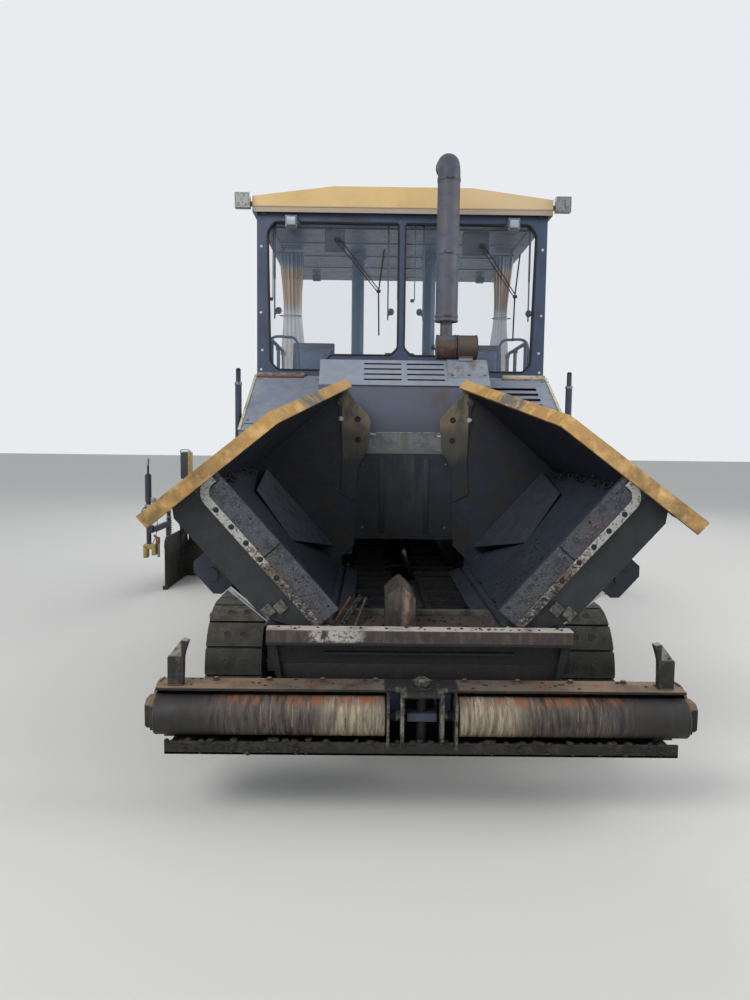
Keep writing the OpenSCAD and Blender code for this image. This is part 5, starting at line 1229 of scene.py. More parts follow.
def fit_roof():
    trim = [ribbon(run((-1.234, 2.934, 3.628), (1.234, 2.934, 3.628)), (0, 0, 0.004), 0.003)]
    for s in (-1, 1):
        trim.append(rod((s * 1.2335, 2.94, 3.632), (s * 1.2335, 5.53, 3.632), 0.0035, 6))
        trim.append(rod((s * 0.565, 2.95, 3.797), (s * 0.565, 5.53, 3.797), 0.0045, 6))
    fit("roof_seams", "chassis", roof_enamel, trim)
    ridges = []
    for x in (-0.95, -0.76, 0.76, 0.95):
        z = 3.71 + (1.235 - abs(x)) / 0.67 * 0.085
        ridges.append(box((x - 0.02, 3.15, z - 0.008), (x + 0.02, 5.35, z + 0.004), 0.005))
    for x in (-0.38, 0.0, 0.38):
        ridges.append(box((x - 0.03, 3.15, 3.793), (x + 0.03, 5.35, 3.7985), 0.002))
    fit("roof_stiffening_ribs", "chassis", roof_enamel, ridges)
    spots = [at(x, y, 3.795) for x in (-0.5, 0.5) for y in (3.1, 3.7, 4.3, 4.9, 5.4)]
    bolts("roof_bolts", "chassis", zinc_plate, spots, (0, 0, 1), 0.007, 0.003, round_bolt)
    lining = [box((-1.2, y - 0.02, 3.577), (1.2, y + 0.02, 3.586), 0.003) for y in (3.4, 3.9, 4.4, 4.9)]
    lining += [box((x - 0.02, 2.96, 3.575), (x + 0.02, 5.5, 3.586), 0.003) for x in (-1.14, 1.14)]
    fit("ceiling_battens", "chassis", cab_enamel, lining)
    blinds = [box((s * 0.02, 3.05, 3.52), (s * 0.5, 3.075, 3.575), 0.01, 3) for s in (-1, 1)]
    fit("roller_blinds", "chassis", moulded_abs, blinds)
    lights = []
    for x in (-0.87, 0.97):
        lights.append(box((x - 0.046, 5.16, 3.505), (x + 0.046, 5.24, 3.57), 0.012, 3))
        lights.append(rod((x, 5.2, 3.56), (x, 5.2, 3.588), 0.01))
    fit("ceiling_lights", "chassis", moulded_abs, lights)
    # work lamps: housings with a ribbed lens, on bent brackets
    shells, lenses, stays = [], [], []
    for s in (-1, 1):
        spots = ((s * 1.31, 2.915, 3.665, 0.058, 0.055), (s * 0.918, 2.945, 3.515, 0.044, 0.042))
        for x, y, z, half_w, half_h in spots:
            shells.append(box((x - half_w, y - 0.02, z - half_h), (x + half_w, y + 0.028, z + half_h), 0.014, 4))
            rim = rounded_outline(corners(x - half_w + 0.005, z - half_h + 0.005,
                                          x + half_w - 0.005, z + half_h - 0.005), 0.016)
            shells.append(swept([at(p.x, y - 0.021, p.y) for p in rim], 0.0045, 8, closed=True))
            for n in range(7):
                lens_x = x - half_w + 0.012 + n * (2 * half_w - 0.024) / 6
                lenses.append(box((lens_x - 0.0062, y - 0.0235, z - half_h + 0.01),
                                  (lens_x + 0.0062, y - 0.0195, z + half_h - 0.01), 0.002))
            for n in range(4):
                fin = z - half_h + 0.018 + n * (2 * half_h - 0.036) / 3
                shells.append(box((x - half_w + 0.01, y + 0.026, fin - 0.003),
                                  (x + half_w - 0.01, y + 0.036, fin + 0.003), 0.001))
            stays.append(swept(smoothed(run((x - s * half_w * 0.9, y + 0.01, z),
                                            (x - s * (half_w + 0.012), y + 0.02, z - 0.004),
                                            (x - s * (half_w + 0.02), y + 0.045, z - 0.01)), 4), 0.006, 8))
    fit("work_lamp_housings", "chassis", lamp_housing, shells)
    fit("work_lamp_lenses", "chassis", ribbed_lens, lenses)
    fit("work_lamp_stays", "chassis", zinc_plate, stays)


# Height of the platform's floor, and how far back the roof's rear columns and the curtains' rails stand
FLOOR_Z, COLUMN_Y, CURTAIN_Y = 1.65, 4.296, 4.19


def fit_columns():
    parts = []
    flange = turned([(0.063, 0), (0.1, 0), (0.1, 0.012), (0.07, 0.016), (0.063, 0.05)], 32)
    for x in (-0.388, 0.33):
        parts.append(stood(flange, at(x, COLUMN_Y, FLOOR_Z), (0, 0, 1)))
        for t in circle(6):
            spot = at(x + 0.085 * math.cos(t), COLUMN_Y + 0.085 * math.sin(t), FLOOR_Z + 0.012)
            parts += bolt_at(spot, (0, 0, 1), 0.008, 0.008)
    fit("column_flanges", "chassis", cab_enamel, parts)
    # grab rails either side of the seats
    bends = ((0.90, FLOOR_Z), (0.90, 2.45), (0.93, 2.62), (1.02, 2.645), (1.13, 2.64), (1.17, 2.56), (1.17, 2.3))
    rails = [swept(smoothed([at(s * x, 3.46, z) for x, z in bends], 6), 0.0125, 12) for s in (-1, 1)]
    fit("grab_rails", "chassis", cab_enamel, rails)


# ---------------------------------------------------------------- seats, curtains and controls
def stuffed(piece, cap):
    """Foam under its cover: the closed shape is blown up a little and held to a limit."""
    remesh = piece.modifiers.new("even_mesh", "REMESH")
    remesh.mode, remesh.voxel_size = "VOXEL", 0.007
    fixed(piece)
    rest = [v.co.copy() for v in piece.data.vertices]
    low = min(p.z for p in rest)
    held = piece.vertex_groups.new(name="held")
    held.add([i for i, p in enumerate(rest) if p.z < low + 0.004], 1.0, "REPLACE")
    cloth = piece.modifiers.new("cover", "CLOTH")
    cloth.settings.quality = 4
    cloth.settings.vertex_group_mass = "held"
    cloth.settings.use_pressure = True
    cloth.settings.uniform_pressure_force = 4.0
    cloth.settings.effector_weights.gravity = 0.0
    cloth.point_cache.frame_start, cloth.point_cache.frame_end = 1, 20
    scene = bpy.context.scene
    for number in range(1, 21):
        scene.frame_set(number)
    fixed(piece)
    for vertex, start in zip(piece.data.vertices, rest):
        drift = vertex.co - start
        if drift.length > cap:
            vertex.co = start + drift.normalized() * cap
    scene.frame_set(1)
    piece.modifiers.new("soft_skin", "SUBSURF").levels = 1


def fixed(piece):
    """The modifiers become part of the mesh."""
    seen = piece.evaluated_get(bpy.context.evaluated_depsgraph_get())
    mesh = bpy.data.meshes.new_from_object(seen)
    mesh.name = piece.name
    piece.modifiers.clear()
    piece.data = mesh
    mesh.shade_smooth()


def cushion_shape(low, high, crown):
    """A crowned closed pad whose sides pull in between its corners."""
    pinch = 0.012
    low, high = Vector(low), Vector(high)
    middle, half = (low + high) / 2, (high - low) / 2
    part = bmesh.new()
    bmesh.ops.create_cube(part, size=2.0)
    bmesh.ops.subdivide_edges(part, edges=part.edges[:], cuts=11, use_grid_fill=True)
    for v in part.verts:
        x, y, z = v.co
        edge_x, edge_y = 1 - x ** 8, 1 - y ** 8
        v.co.z = z * (0.72 + 0.28 * (edge_x * edge_y)) + (crown / half.z * edge_x * edge_y * max(0.0, z))
        v.co.x = x * (1 - 0.05 * abs(z) ** 3) - math.copysign(pinch / half.x * (1 - y * y) * abs(x) ** 4, x)
        v.co.y = y * (1 - 0.05 * abs(z) ** 3) - math.copysign(pinch / half.y * (1 - x * x) * abs(y) ** 4, y)
    shape = taken(part)
    grown = Matrix.Diagonal((half.x, half.y, half.z, 1.0))
    return moved(shape, Matrix.Translation(middle) @ grown)


def piping(low, high, height):
    """The sewn cord round a cushion."""
    outline = rounded_outline(corners(low[0], low[1], high[0], high[1]), 0.05)
    return swept([Vector((p.x, p.y, height)) for p in outline], 0.0035, 6, closed=True)


def fit_seat(name, x):
    back_turn = Matrix.Rotation(math.radians(90 - 9), 4, "X")

    def leaning(shape, y, z):
        return moved(shape, Matrix.Translation(at(x, y, z)) @ back_turn)

    pan_low, pan_high = at(x - 0.215, 3.66, 2.045), at(x + 0.215, 4.03, 2.118)
    rest = leaning(cushion_shape((-0.19, -0.245, -0.03), (0.19, 0.245, 0.03), 0.012), 4.035, 2.40)
    for part, shape in (("cushion", cushion_shape(pan_low, pan_high, 0.012)), ("back", rest)):
        pad = fit(f"seat_{part}_{name}", "chassis", seat_vinyl, [shape], 180)
        stuffed(pad, 0.022)
    slot = rounded_outline(corners(-0.055, -0.016, 0.055, 0.016), 0.012)
    fit(f"seat_shell_{name}", "chassis", moulded_abs, [
        leaning(block((-0.205, -0.275, -0.018), (0.205, 0.275, 0.012), 0.016, 4), 4.082, 2.405),
        leaning(swept([Vector((p.x, p.y, 0)) for p in slot], 0.005, 6, closed=True), 3.995, 2.47),
        box((x - 0.225, 3.645, 2.012), (x + 0.225, 4.055, 2.05), 0.012, 3)])
    folds = [(0.075 + 0.02 * (n % 2), 1.70 + n * 0.022) for n in range(12)]
    pedestal = fit(f"seat_pedestal_{name}", "chassis", black_rubber, [
        box((x - 0.15, 3.75, 1.95), (x + 0.15, 4.03, 2.012), 0.008),
        moved(turned([(0.06, 1.66), (0.06, 1.70)] + folds + [(0.07, 1.965)], 28), Matrix.Translation(at(x, 3.89, 0))),
        box((x - 0.16, 3.74, FLOOR_Z), (x + 0.16, 4.04, 1.665), 0.005)])
    arms = []
    for s in (-1, 1):
        arms.append(box((x + s * 0.245 - 0.028, 3.7, 2.25), (x + s * 0.245 + 0.028, 4.04, 2.29), 0.014, 4))
        bends = ((0.245, 4.02, 2.25), (0.245, 4.025, 2.15), (0.24, 4.02, 2.07), (0.2, 4.02, 2.06))
        arms.append(swept(smoothed([at(x + s * out, y, z) for out, y, z in bends], 5), 0.013, 10))
    fit(f"seat_arms_{name}", "chassis", moulded_abs, arms)
    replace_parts(pedestal, f"seat_{name}")
    inset = Vector((0.004, 0.004, 0))
    fit(f"seat_piping_{name}", "chassis", black_rubber,
        [piping(pan_low + inset, pan_high - inset, pan_low.z + 0.05)])


def hung_cloth(name, material, top, bottom, line, folds, depth, seed, lean, narrow):
    """A gathered sheet: line(u) gives its run along the rail, and its folds deepen downward."""
    across, down = folds * 14, 40
    points, faces = [], []
    for j in range(down + 1):
        v = j / down
        for i in range(across + 1):
            u = i / across
            spot = line(u)
            squeeze = 1 - narrow * math.sin(math.pi * min(1.0, v * 1.1)) ** 2
            middle = line(0.5)
            swing = math.sin(u * folds * math.tau + 0.5 * math.sin(v * 3 + seed)) * depth * (0.35 + 0.65 * v)
            fine = 0.3 * depth * math.sin(u * folds * 2.3 * math.tau + v * 4 + seed * 2)
            x = middle.x + (spot.x - middle.x) * squeeze + lean * v
            y = middle.y + (spot.y - middle.y) * squeeze + swing + fine
            z = top + (bottom - top) * v + 0.012 * math.sin(u * 9 + seed) * v
            points.append(Vector((x + 0.25 * depth * math.cos(u * folds * math.tau + v * 2), y, z)))
    for j in range(down):
        for i in range(across):
            a = j * (across + 1) + i
            faces.append([a, a + 1, a + across + 2, a + across + 1])
    piece = fit(name, "chassis", material, [(points, faces)], 180)
    return piece


def fit_curtains():
    left = hung_cloth("weather_curtain_left", curtain_film, 3.555, 2.40, lambda u: at(-1.17 + 0.24 * u, CURTAIN_Y, 0),
                      5, 0.022, 1.0, lean=0.03, narrow=0.25)
    right = hung_cloth("weather_curtain_right", curtain_film, 3.555, 2.36, lambda u: at(0.95 + 0.20 * u, CURTAIN_Y, 0),
                       5, 0.022, 2.4, lean=-0.03, narrow=0.35)
    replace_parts(left, "curtains")
    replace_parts(right, "curtains")
    straps = []
    for x0, x1 in ((-1.185, -0.93), (0.94, 1.155)):
        middle, half = (x0 + x1) / 2, (x1 - x0) / 2
        ring = [at(middle + half * 0.82 * math.cos(t), CURTAIN_Y + 0.045 * math.sin(t), 2.95) for t in circle(24)]
        straps.append(swept(ring, 0.009, 6, closed=True, flat=0.35))
        straps.append(rod((x0, CURTAIN_Y, 3.566), (x1, CURTAIN_Y, 3.566), 0.008))
    fit("curtain_rails_and_straps", "chassis", black_rubber, straps)


def fit_controls():
    # levers on two pods, with a screen between them
    top = []
    lever_knob = turned([(0, 0), (0.012, 0.004), (0.015, 0.015), (0.011, 0.028), (0, 0.032)], 16)
    for x in (-0.36, 0.36):
        top.append(box((x - 0.11, 3.22, 2.285), (x + 0.11, 3.40, 2.33), 0.012, 3))
        for lever_x in (x - 0.06, x, x + 0.06):
            top.append(rod((lever_x, 3.31, 2.325), (lever_x, 3.30, 2.395), 0.005, 8))
            top.append(moved(lever_knob, Matrix.Translation(at(lever_x, 3.30, 2.385))))
    top.append(box((-0.13, 3.235, 2.33), (0.13, 3.265, 2.49), 0.01, 3))
    fit("console_levers", "chassis", moulded_abs, top)
    dial = turned([(0.03, 0), (0.03, 0.006), (0.026, 0.008), (0.026, 0.004), (0, 0.004)], 24)
    dials = [stood(dial, at(-0.44 + k * 0.176, 3.30, 2.262), (0, 0.4, 0.9)) for k in range(6)]
    fit("console_dials", "chassis", zinc_plate, dials)
    rim = [at(0.15 * math.cos(t), 3.52 + 0.13 * math.sin(t), 2.36 + 0.05 * math.sin(t)) for t in circle(32)]
    hub = turned([(0, 0), (0.035, 0.002), (0.04, 0.014), (0.03, 0.028), (0, 0.03)], 20)
    fit("steering_wheel", "chassis", black_rubber, [
        swept(rim, 0.012, 10, closed=True), rod((0, 3.5, 2.12), (0, 3.52, 2.35), 0.018, 12),
        rod((-0.14, 3.52, 2.355), (0.14, 3.52, 2.355), 0.008, 8), stood(hub, at(0, 3.52, 2.345), (0, -0.3, 0.95))])


def fit_platform():
    plates = []
    bead = swept([(-0.014, 0, 0), (0, 0, 0.0015), (0.014, 0, 0)], [0.001, 0.004, 0.001], 4, flat=0.5)
    for j in range(18):
        for i in range(36):
            spot = Matrix.Translation(at(-1.12 + i * 0.064, 3.12 + j * 0.07, FLOOR_Z + 0.0005))
            plates.append(moved(bead, spot @ Matrix.Rotation(0.785 if (i + j) % 2 else -0.785, 4, "Z")))
    fit("floor_tread_pattern", "chassis", worn_steel_edge, plates)
    collar = turned([(0.017, 0), (0.026, 0.002), (0.026, 0.03), (0.017, 0.034)], 20)
    clamps = [stood(collar, at(s * 1.14, y, z), (0, 0, 1)) for s in (-1, 1) for y in (3.42, 3.9, 4.3)
              for z in (FLOOR_Z, 2.575)]
    fit("rail_collars", "chassis", cab_enamel, clamps)


# ---------------------------------------------------------------- flanks
def fit_flanks():
    for name, s in SIDES.items():
        seams = []
        for y0, y1 in ((2.06, 2.40), (3.40, 3.86), (3.90, 4.36)):
            outline = rounded_outline(corners(y0, 0.82, y1, 1.60), 0.03)
            seams.append(swept([at(s * 1.2015, p.x, p.y) for p in outline], 0.0025, 6, closed=True))
        fit(f"flank_panel_seams_{name}", "chassis", black_rubber, seams)
        vents = []
        for k in range(8):
            z = 0.98 + k * 0.066
            for y in (3.63, 4.13):
                lip = run((s * 1.199, y, z + 0.022), (s * 1.211, y, z + 0.006), (s * 1.212, y, z))
                vents.append(ribbon(lip, (0, 0.34, 0), 0.0018))
        fit(f"flank_louvres_{name}", "chassis", hood_enamel, vents, 60)
        spots = [at(s * HOOD_OUT, y, z) for y in (2.09, 2.37, 3.43, 3.83, 3.93, 4.33) for z in (0.86, 1.56)]
        bolts(f"flank_bolts_{name}", "chassis", zinc_plate, spots, (s, 0, 0), 0.008, 0.007)
        door = []
        for k in range(5):
            z = 1.07 + k * 0.05
            lip = run((s * 1.1995, 2.86, z + 0.018), (s * 1.207, 2.86, z + 0.006), (s * 1.208, 2.86, z))
            door.append(ribbon(lip, (0, 0.62, 0), 0.0018))
        edge = rounded_outline(corners(2.53, 1.05, 3.33, 1.49), 0.03)
        door.append(swept([at(s * 1.2005, p.x, p.y) for p in edge], 0.003, 6, closed=True))
        fit(f"service_door_pressings_{name}", f"side_door_{name}", faded_yellow, door, 60)
        bends = ((1.218, 1.272), (1.232, 1.262), (1.234, 1.22), (1.230, 1.19))
        latch = [box((s * HOOD_OUT, 3.265, 1.225), (s * 1.222, 3.315, 1.295), 0.008, 3),
                 swept(smoothed([at(s * x, 3.29, z) for x, z in bends], 4), 0.006, 8)]
        fit(f"service_door_latch_{name}", f"side_door_{name}", black_rubber, latch)
        lamp = box((s - 0.07, 4.392, 1.50), (s + 0.07, 4.412, 1.58), 0.008, 3)
        fit(f"tail_lamp_housing_{name}", "chassis", moulded_abs, [lamp])
        for part, x0, x1, glass in (("stop", 0.935, 1.0, red_lens), ("turn", 1.004, 1.065, amber_lens)):
            middles = [s * x0 + n * s * (x1 - x0) / 5 for n in range(6)]
            ribs = [box((x - 0.006, 4.408, 1.507), (x + 0.006, 4.418, 1.573), 0.002) for x in middles]
            fit(f"tail_lamp_{part}_{name}", "chassis", glass, ribs)


# Levelling cylinders and tow pivots beside the tracks, and the marker posts at the hoods' front corners
LEVEL_X, TOW_Y = 1.252, 2.15
POST_X, POST_Y = 1.237, 2.275


def fit_undercarriage():
    for name, s in SIDES.items():
        caps, pins = [], []
        middle = s * TRACK_MID
        for x, y, r, count in ((0.085, IDLER_Y, 0.04, 5), (0.1185, SPROCKET_Y, 0.1, 10)):
            face = middle + s * x
            ring = turned([(0, 0), (r * 0.62, 0), (r * 0.62, 0.007), (r * 0.5, 0.014), (0, 0.014)], 32)
            caps.append(stood(ring, at(face, y, TRACK_R), (s, 0, 0)))
            for t in circle(count):
                spot = at(face, y + r * 0.84 * math.cos(t), TRACK_R + r * 0.84 * math.sin(t))
                caps += bolt_at(spot, (s, 0, 0), 0.0075 if r < 0.05 else 0.0105, 0.008)
        cap = turned([(0, 0.012), (0.022, 0.012), (0.03, 0.004), (0.05, 0.004), (0.052, 0)], 24)
        for n in range(7):
            for out in (1, -1):
                caps.append(stood(cap, at(middle + s * out * 0.072, 1.52 + 0.34 * n, 0.156), (s * out, 0, 0)))
        cap = turned([(0, 0.012), (0.018, 0.012), (0.024, 0.004), (0.036, 0.004), (0.038, 0)], 24)
        caps += [stood(cap, at(middle + s * 0.056, y, 0.582), (s, 0, 0)) for y in (2.05, 3.05)]
        for y in (1.69, 2.03, 2.37, 2.71, 3.05, 3.39):
            caps += [stood(b, at(middle + s * 0.06, y, z), (s, 0, 0)) for z in (0.262, 0.43)
                     for b in hex_bolt(0.011, 0.01)]
        fit(f"running_gear_caps_{name}", "chassis", zinc_plate, caps)
        # pins of the track chain, both faces of the links
        band, spots = TRACK_R - 0.055, []
        for i in range(int((SPROCKET_Y - IDLER_Y) / SHOE_STEP)):
            for lean in (0.27, 0.73):
                y = IDLER_Y + (i + lean) * SHOE_STEP
                spots += [(y, TRACK_R + band), (y, TRACK_R - band)]
        for end, first in ((IDLER_Y, 90), (SPROCKET_Y, -90)):
            for n in range(13):
                turn = math.radians(first - 78 + n * 13)
                spots.append((end - math.sin(turn) * band, TRACK_R + math.cos(turn) * band))
        pin = turned([(0, 0.005), (0.011, 0.005), (0.0135, 0.003), (0.0135, 0)], 12)
        pins += [stood(pin, at(middle + out * 0.06, y, z), (out, 0, 0)) for y, z in spots for out in (1, -1)]
        fit(f"track_chain_pins_{name}", "chassis", worn_steel_edge, pins)
        gland = turned([(0.036, 0), (0.041, 0.002), (0.041, 0.03), (0.036, 0.034)], 28)
        rings = [stood(gland, at(s * LEVEL_X, TOW_Y, z), (0, 0, 1)) for z in (0.64, 0.70, 1.18)]
        rings += bolt_at(at(s * LEVEL_X, TOW_Y, 1.24), (0, 0, 1), 0.016, 0.02)
        fit(f"levelling_cylinder_glands_{name}", "chassis", zinc_plate, rings)
        knob = turned([(0, 0.0), (0.018, -0.001), (0.018, 0.012), (0.012, 0.02), (0, 0.022)], 16)
        fit(f"marker_post_cap_{name}", "chassis", black_rubber, [stood(knob, at(s * POST_X, POST_Y, 2.233), (0, 0, 1))])
        collar = turned([(0.018, 0), (0.027, 0.001), (0.027, 0.02), (0.018, 0.021)], 20)
        fit(f"marker_post_collars_{name}", "chassis", zinc_plate,
            [stood(collar, at(s * POST_X, POST_Y, z), (0, 0, 1)) for z in (1.22, 2.13)])


# ---------------------------------------------------------------- screed
def crank(foot, height, reach, turn, radius=0.011):
    """A jack screw with its crank handle."""
    foot = Vector(foot)
    out = Vector((math.cos(turn), math.sin(turn), 0))
    top = foot + Vector((0, 0, height))
    parts = [swept([foot, top], radius, 12), swept([top, top + out * reach], radius * 0.7, 8),
             swept([top + out * reach, top + out * reach + Vector((0, 0, 0.075))], radius * 0.9, 10)]
    nut = turned([(radius, 0), (radius * 1.5, 0.002), (radius * 1.5, 0.006), (radius, 0.008)], 16)
    parts += [moved(nut, Matrix.Translation(foot + Vector((0, 0, 0.02 + k * 0.011)))) for k in range(5)]
    parts += [moved(b, Matrix.Translation(foot)) for b in hex_bolt(radius * 2, 0.018)]
    return parts


def coil(foot, height, radius, wire, turns):
    """A coil spring standing on its foot."""
    steps = turns * 16
    line = [(radius * math.cos(t), radius * math.sin(t), height * t / (turns * math.tau))
            for t in (k / 16 * math.tau for k in range(steps + 1))]
    return moved(swept(line, wire, 6), Matrix.Translation(foot))


def fit_screed():
    grip, jacks, boxes = [], [], []
    for s in (-1, 1):
        for x in (s * (0.06 + n * 0.0402) for n in range(30)):
            grip.append(box((x - 0.003, 5.295, 0.761), (x + 0.003, 5.555, 0.769), 0.0008, 1))
        for y in (5.31 + n * 0.0575 for n in range(5)):
            grip.append(box((s * 0.045, y - 0.002, 0.7615), (s * 1.235, y + 0.002, 0.7665), 0.0006, 1))
        jacks += crank(at(s * 1.185, 5.24, 0.534), 0.44, 0.13, 1.2 if s > 0 else 1.9, 0.013)
        boxes.append(box((s * 0.42 - 0.13, 5.10, 0.533), (s * 0.42 + 0.13, 5.24, 0.64), 0.01, 3))
        pipe = run((s * 0.55, 5.17, 0.58), (s * 0.62, 5.17, 0.575), (s * 0.7, 5.15, 0.552), (s * 0.78, 5.12, 0.545))
        boxes.append(swept(smoothed(pipe, 5), 0.011, 8))
    fit("walkway_grip_bars", "screed", worn_steel_edge, grip)
    fit("screed_jacks", "screed", zinc_plate, jacks)
    fit("burner_boxes", "screed", moulded_abs, boxes)
    crown = [rod((-0.2, 5.42, 0.60), (0.2, 5.42, 0.60), 0.016, 12),
             rod((-0.06, 5.42, 0.60), (0.06, 5.42, 0.60), 0.028, 6)]
    for s in (-1, 1):
        crown.append(box((s * 0.2 - 0.02, 5.38, 0.533), (s * 0.2 + 0.02, 5.46, 0.635), 0.006, 2))
        crown.append(rod((s * 0.2 - 0.03, 5.42, 0.6), (s * 0.2 + 0.03, 5.42, 0.6), 0.024, 6))
    fit("crown_turnbuckle", "screed", zinc_plate, crown)
    spots = [at(s * x, 5.05, z) for s in (-1, 1) for x in (0.15, 0.45, 0.75, 1.05) for z in (0.12, 0.44)]
    bolts("moldboard_bolts", "screed", zinc_plate, spots, (0, -1, 0), 0.012, 0.01)
    for name, s in SIDES.items():
        pairs = ((4.5, 0.45), (5.22, 0.47), (5.48, 0.47))
        spots = [at(s * 1.285, y, z) for y, low in pairs for z in (0.6, low)]
        bolts(f"tow_arm_bolts_{name}", "screed", zinc_plate, spots, (s, 0, 0), 0.014, 0.012)
        hub = turned([(0.029, 0), (0.05, 0), (0.05, 0.006), (0.03, 0.009)], 28)
        washer = stood(hub, at(s * 1.2855, TOW_Y, 0.46), (s, 0, 0))
        fit(f"tow_pivot_washer_{name}", "screed", worn_steel_edge, [washer])


# Remote boxes and end gates on the extensions: their places across
REMOTE_X, GATE_X = 2.507, 2.582


def fit_extensions():
    for name, s in SIDES.items():
        body = f"extension_{name}"
        middles = [s * (1.30 + n * 0.0412) for n in range(30)]
        fit(f"extension_grip_bars_{name}", body, worn_steel_edge,
            [box((x - 0.003, 5.875, 0.619), (x + 0.003, 6.225, 0.627), 0.0008, 1) for x in middles])
        jacks = crank(at(s * 1.62, 5.97, 0.434), 0.45, 0.12, 0.6, 0.012)
        jacks += crank(at(s * 2.36, 5.97, 0.434), 0.45, 0.12, 2.2, 0.012)
        fit(f"extension_jacks_{name}", body, zinc_plate, jacks)
        x = s * REMOTE_X
        fit(f"control_post_{name}", body, cab_enamel, [
            rod((x, 5.8, 0.715), (x, 5.8, 1.26), 0.016, 12),
            box((x - 0.03, 5.76, 0.715), (x + 0.03, 5.84, 0.735), 0.004)])
        # tall remote box: black front, yellow inner cheek, white lid
        fit(f"control_box_{name}", body, moulded_abs,
            [box((x - 0.058, 5.735, 1.22), (x + 0.058, 5.86, 1.545), 0.014, 4)])
        cheek = box((s * 2.456 - 0.016, 5.728, 1.23), (s * 2.456 + 0.016, 5.865, 1.55), 0.008, 3)
        fit(f"control_box_cheek_{name}", body, signal_yellow, [cheek])
        fit(f"control_box_lid_{name}", body, white_bolt,
            [box((x - 0.06, 5.732, 1.55), (x + 0.045, 5.85, 1.562), 0.004)])
        knob = turned([(0, 0.014), (0.007, 0.013), (0.009, 0), (0, 0)], 12)
        panel = [box((x - 0.052, 5.857, 1.392), (x + 0.052, 5.87, 1.53), 0.004, 2)]
        panel += [stood(knob, at(x - 0.03 + i * 0.03, 5.867, 1.415 + j * 0.045), (0, 1, 0)) for i in range(3)
                  for j in range(3)]
        fit(f"control_panel_{name}", body, moulded_abs, panel)
        bends = ((-0.055, 5.75, 1.535), (-0.05, 5.745, 1.575), (0.05, 5.745, 1.575), (0.055, 5.75, 1.535))
        grip = [at(x + out, y, z) for out, y, z in bends]
        fit(f"control_grip_{name}", body, hard_chrome, [swept(smoothed(grip, 6), 0.007, 8)])
        gate = s * GATE_X
        springs, nuts = [], []
        for y in (5.26, 5.84):
            springs.append(coil(at(gate, y, 0.62), 0.17, 0.031, 0.0055, 6))
            for z in (0.80, 0.86):
                nuts += bolt_at(at(gate, y, z), (0, 0, 1), 0.026, 0.016)
            nuts += crank(at(gate, y, 0.875), 0.06 if y < 5.5 else 0.19, 0.09, 1.57, 0.009)
        fit(f"end_gate_springs_{name}", body, worn_steel_edge, springs)
        fit(f"end_gate_nuts_{name}", body, zinc_plate, nuts)
        spots = [at(s * 2.562, y, z) for y in (5.08, 5.5, 6.1) for z in (0.1, 0.32)]
        bolts(f"end_gate_bolts_{name}", body, worn_steel_edge, spots, (s, 0, 0), 0.012, 0.009)


def fit_rear_end():
    """Steps up to the platform, and the gates that close the conveyor tunnel's rear end."""
    cheek = [(4.402, 1.07), (4.402, 1.65), (4.43, 1.65), (4.57, 1.48), (4.57, 1.07)]
    treads = (1.08, 1.26, 1.44)
    steps = [slab(x, x + 0.012, cheek) for x in (-0.342, 0.33)]
    steps += [box((-0.332, 4.402, z), (0.332, 4.566, z + 0.016), 0.003) for z in treads]
    fit("rear_steps", "chassis", slate_enamel, steps)
    stud = turned([(0.0055, 0), (0.0045, 0.0025), (0.002, 0.0025), (0.0015, 0.001), (0, 0.001)], 10)
    grip = [moved(stud, Matrix.Translation(at(x * 0.05, 4.44 + n * 0.045, z + 0.0155))) for x in range(-6, 7)
            for n in range(3) for z in treads]
    fit("rear_step_studs", "chassis", worn_steel_edge, grip)
    fit("tunnel_end_plate", "chassis", hopper_steel, [box((-0.085, 4.380, 0.52), (0.085, 4.386, 0.84), 0.001)])
    for name, s in SIDES.items():
        gate = [box((s * 0.008, 4.386, 0.80), (s * 0.462, 4.393, 1.036), 0.002),
                slab(s * 0.20, s * 0.24, [(4.392, 0.86), (4.392, 1.0), (4.426, 0.98), (4.426, 0.88)])]
        fit(f"feed_gate_{name}", "chassis", hopper_steel, gate)


# The grade sensor's post
SENSOR_X, SENSOR_Y = -2.648, 4.7


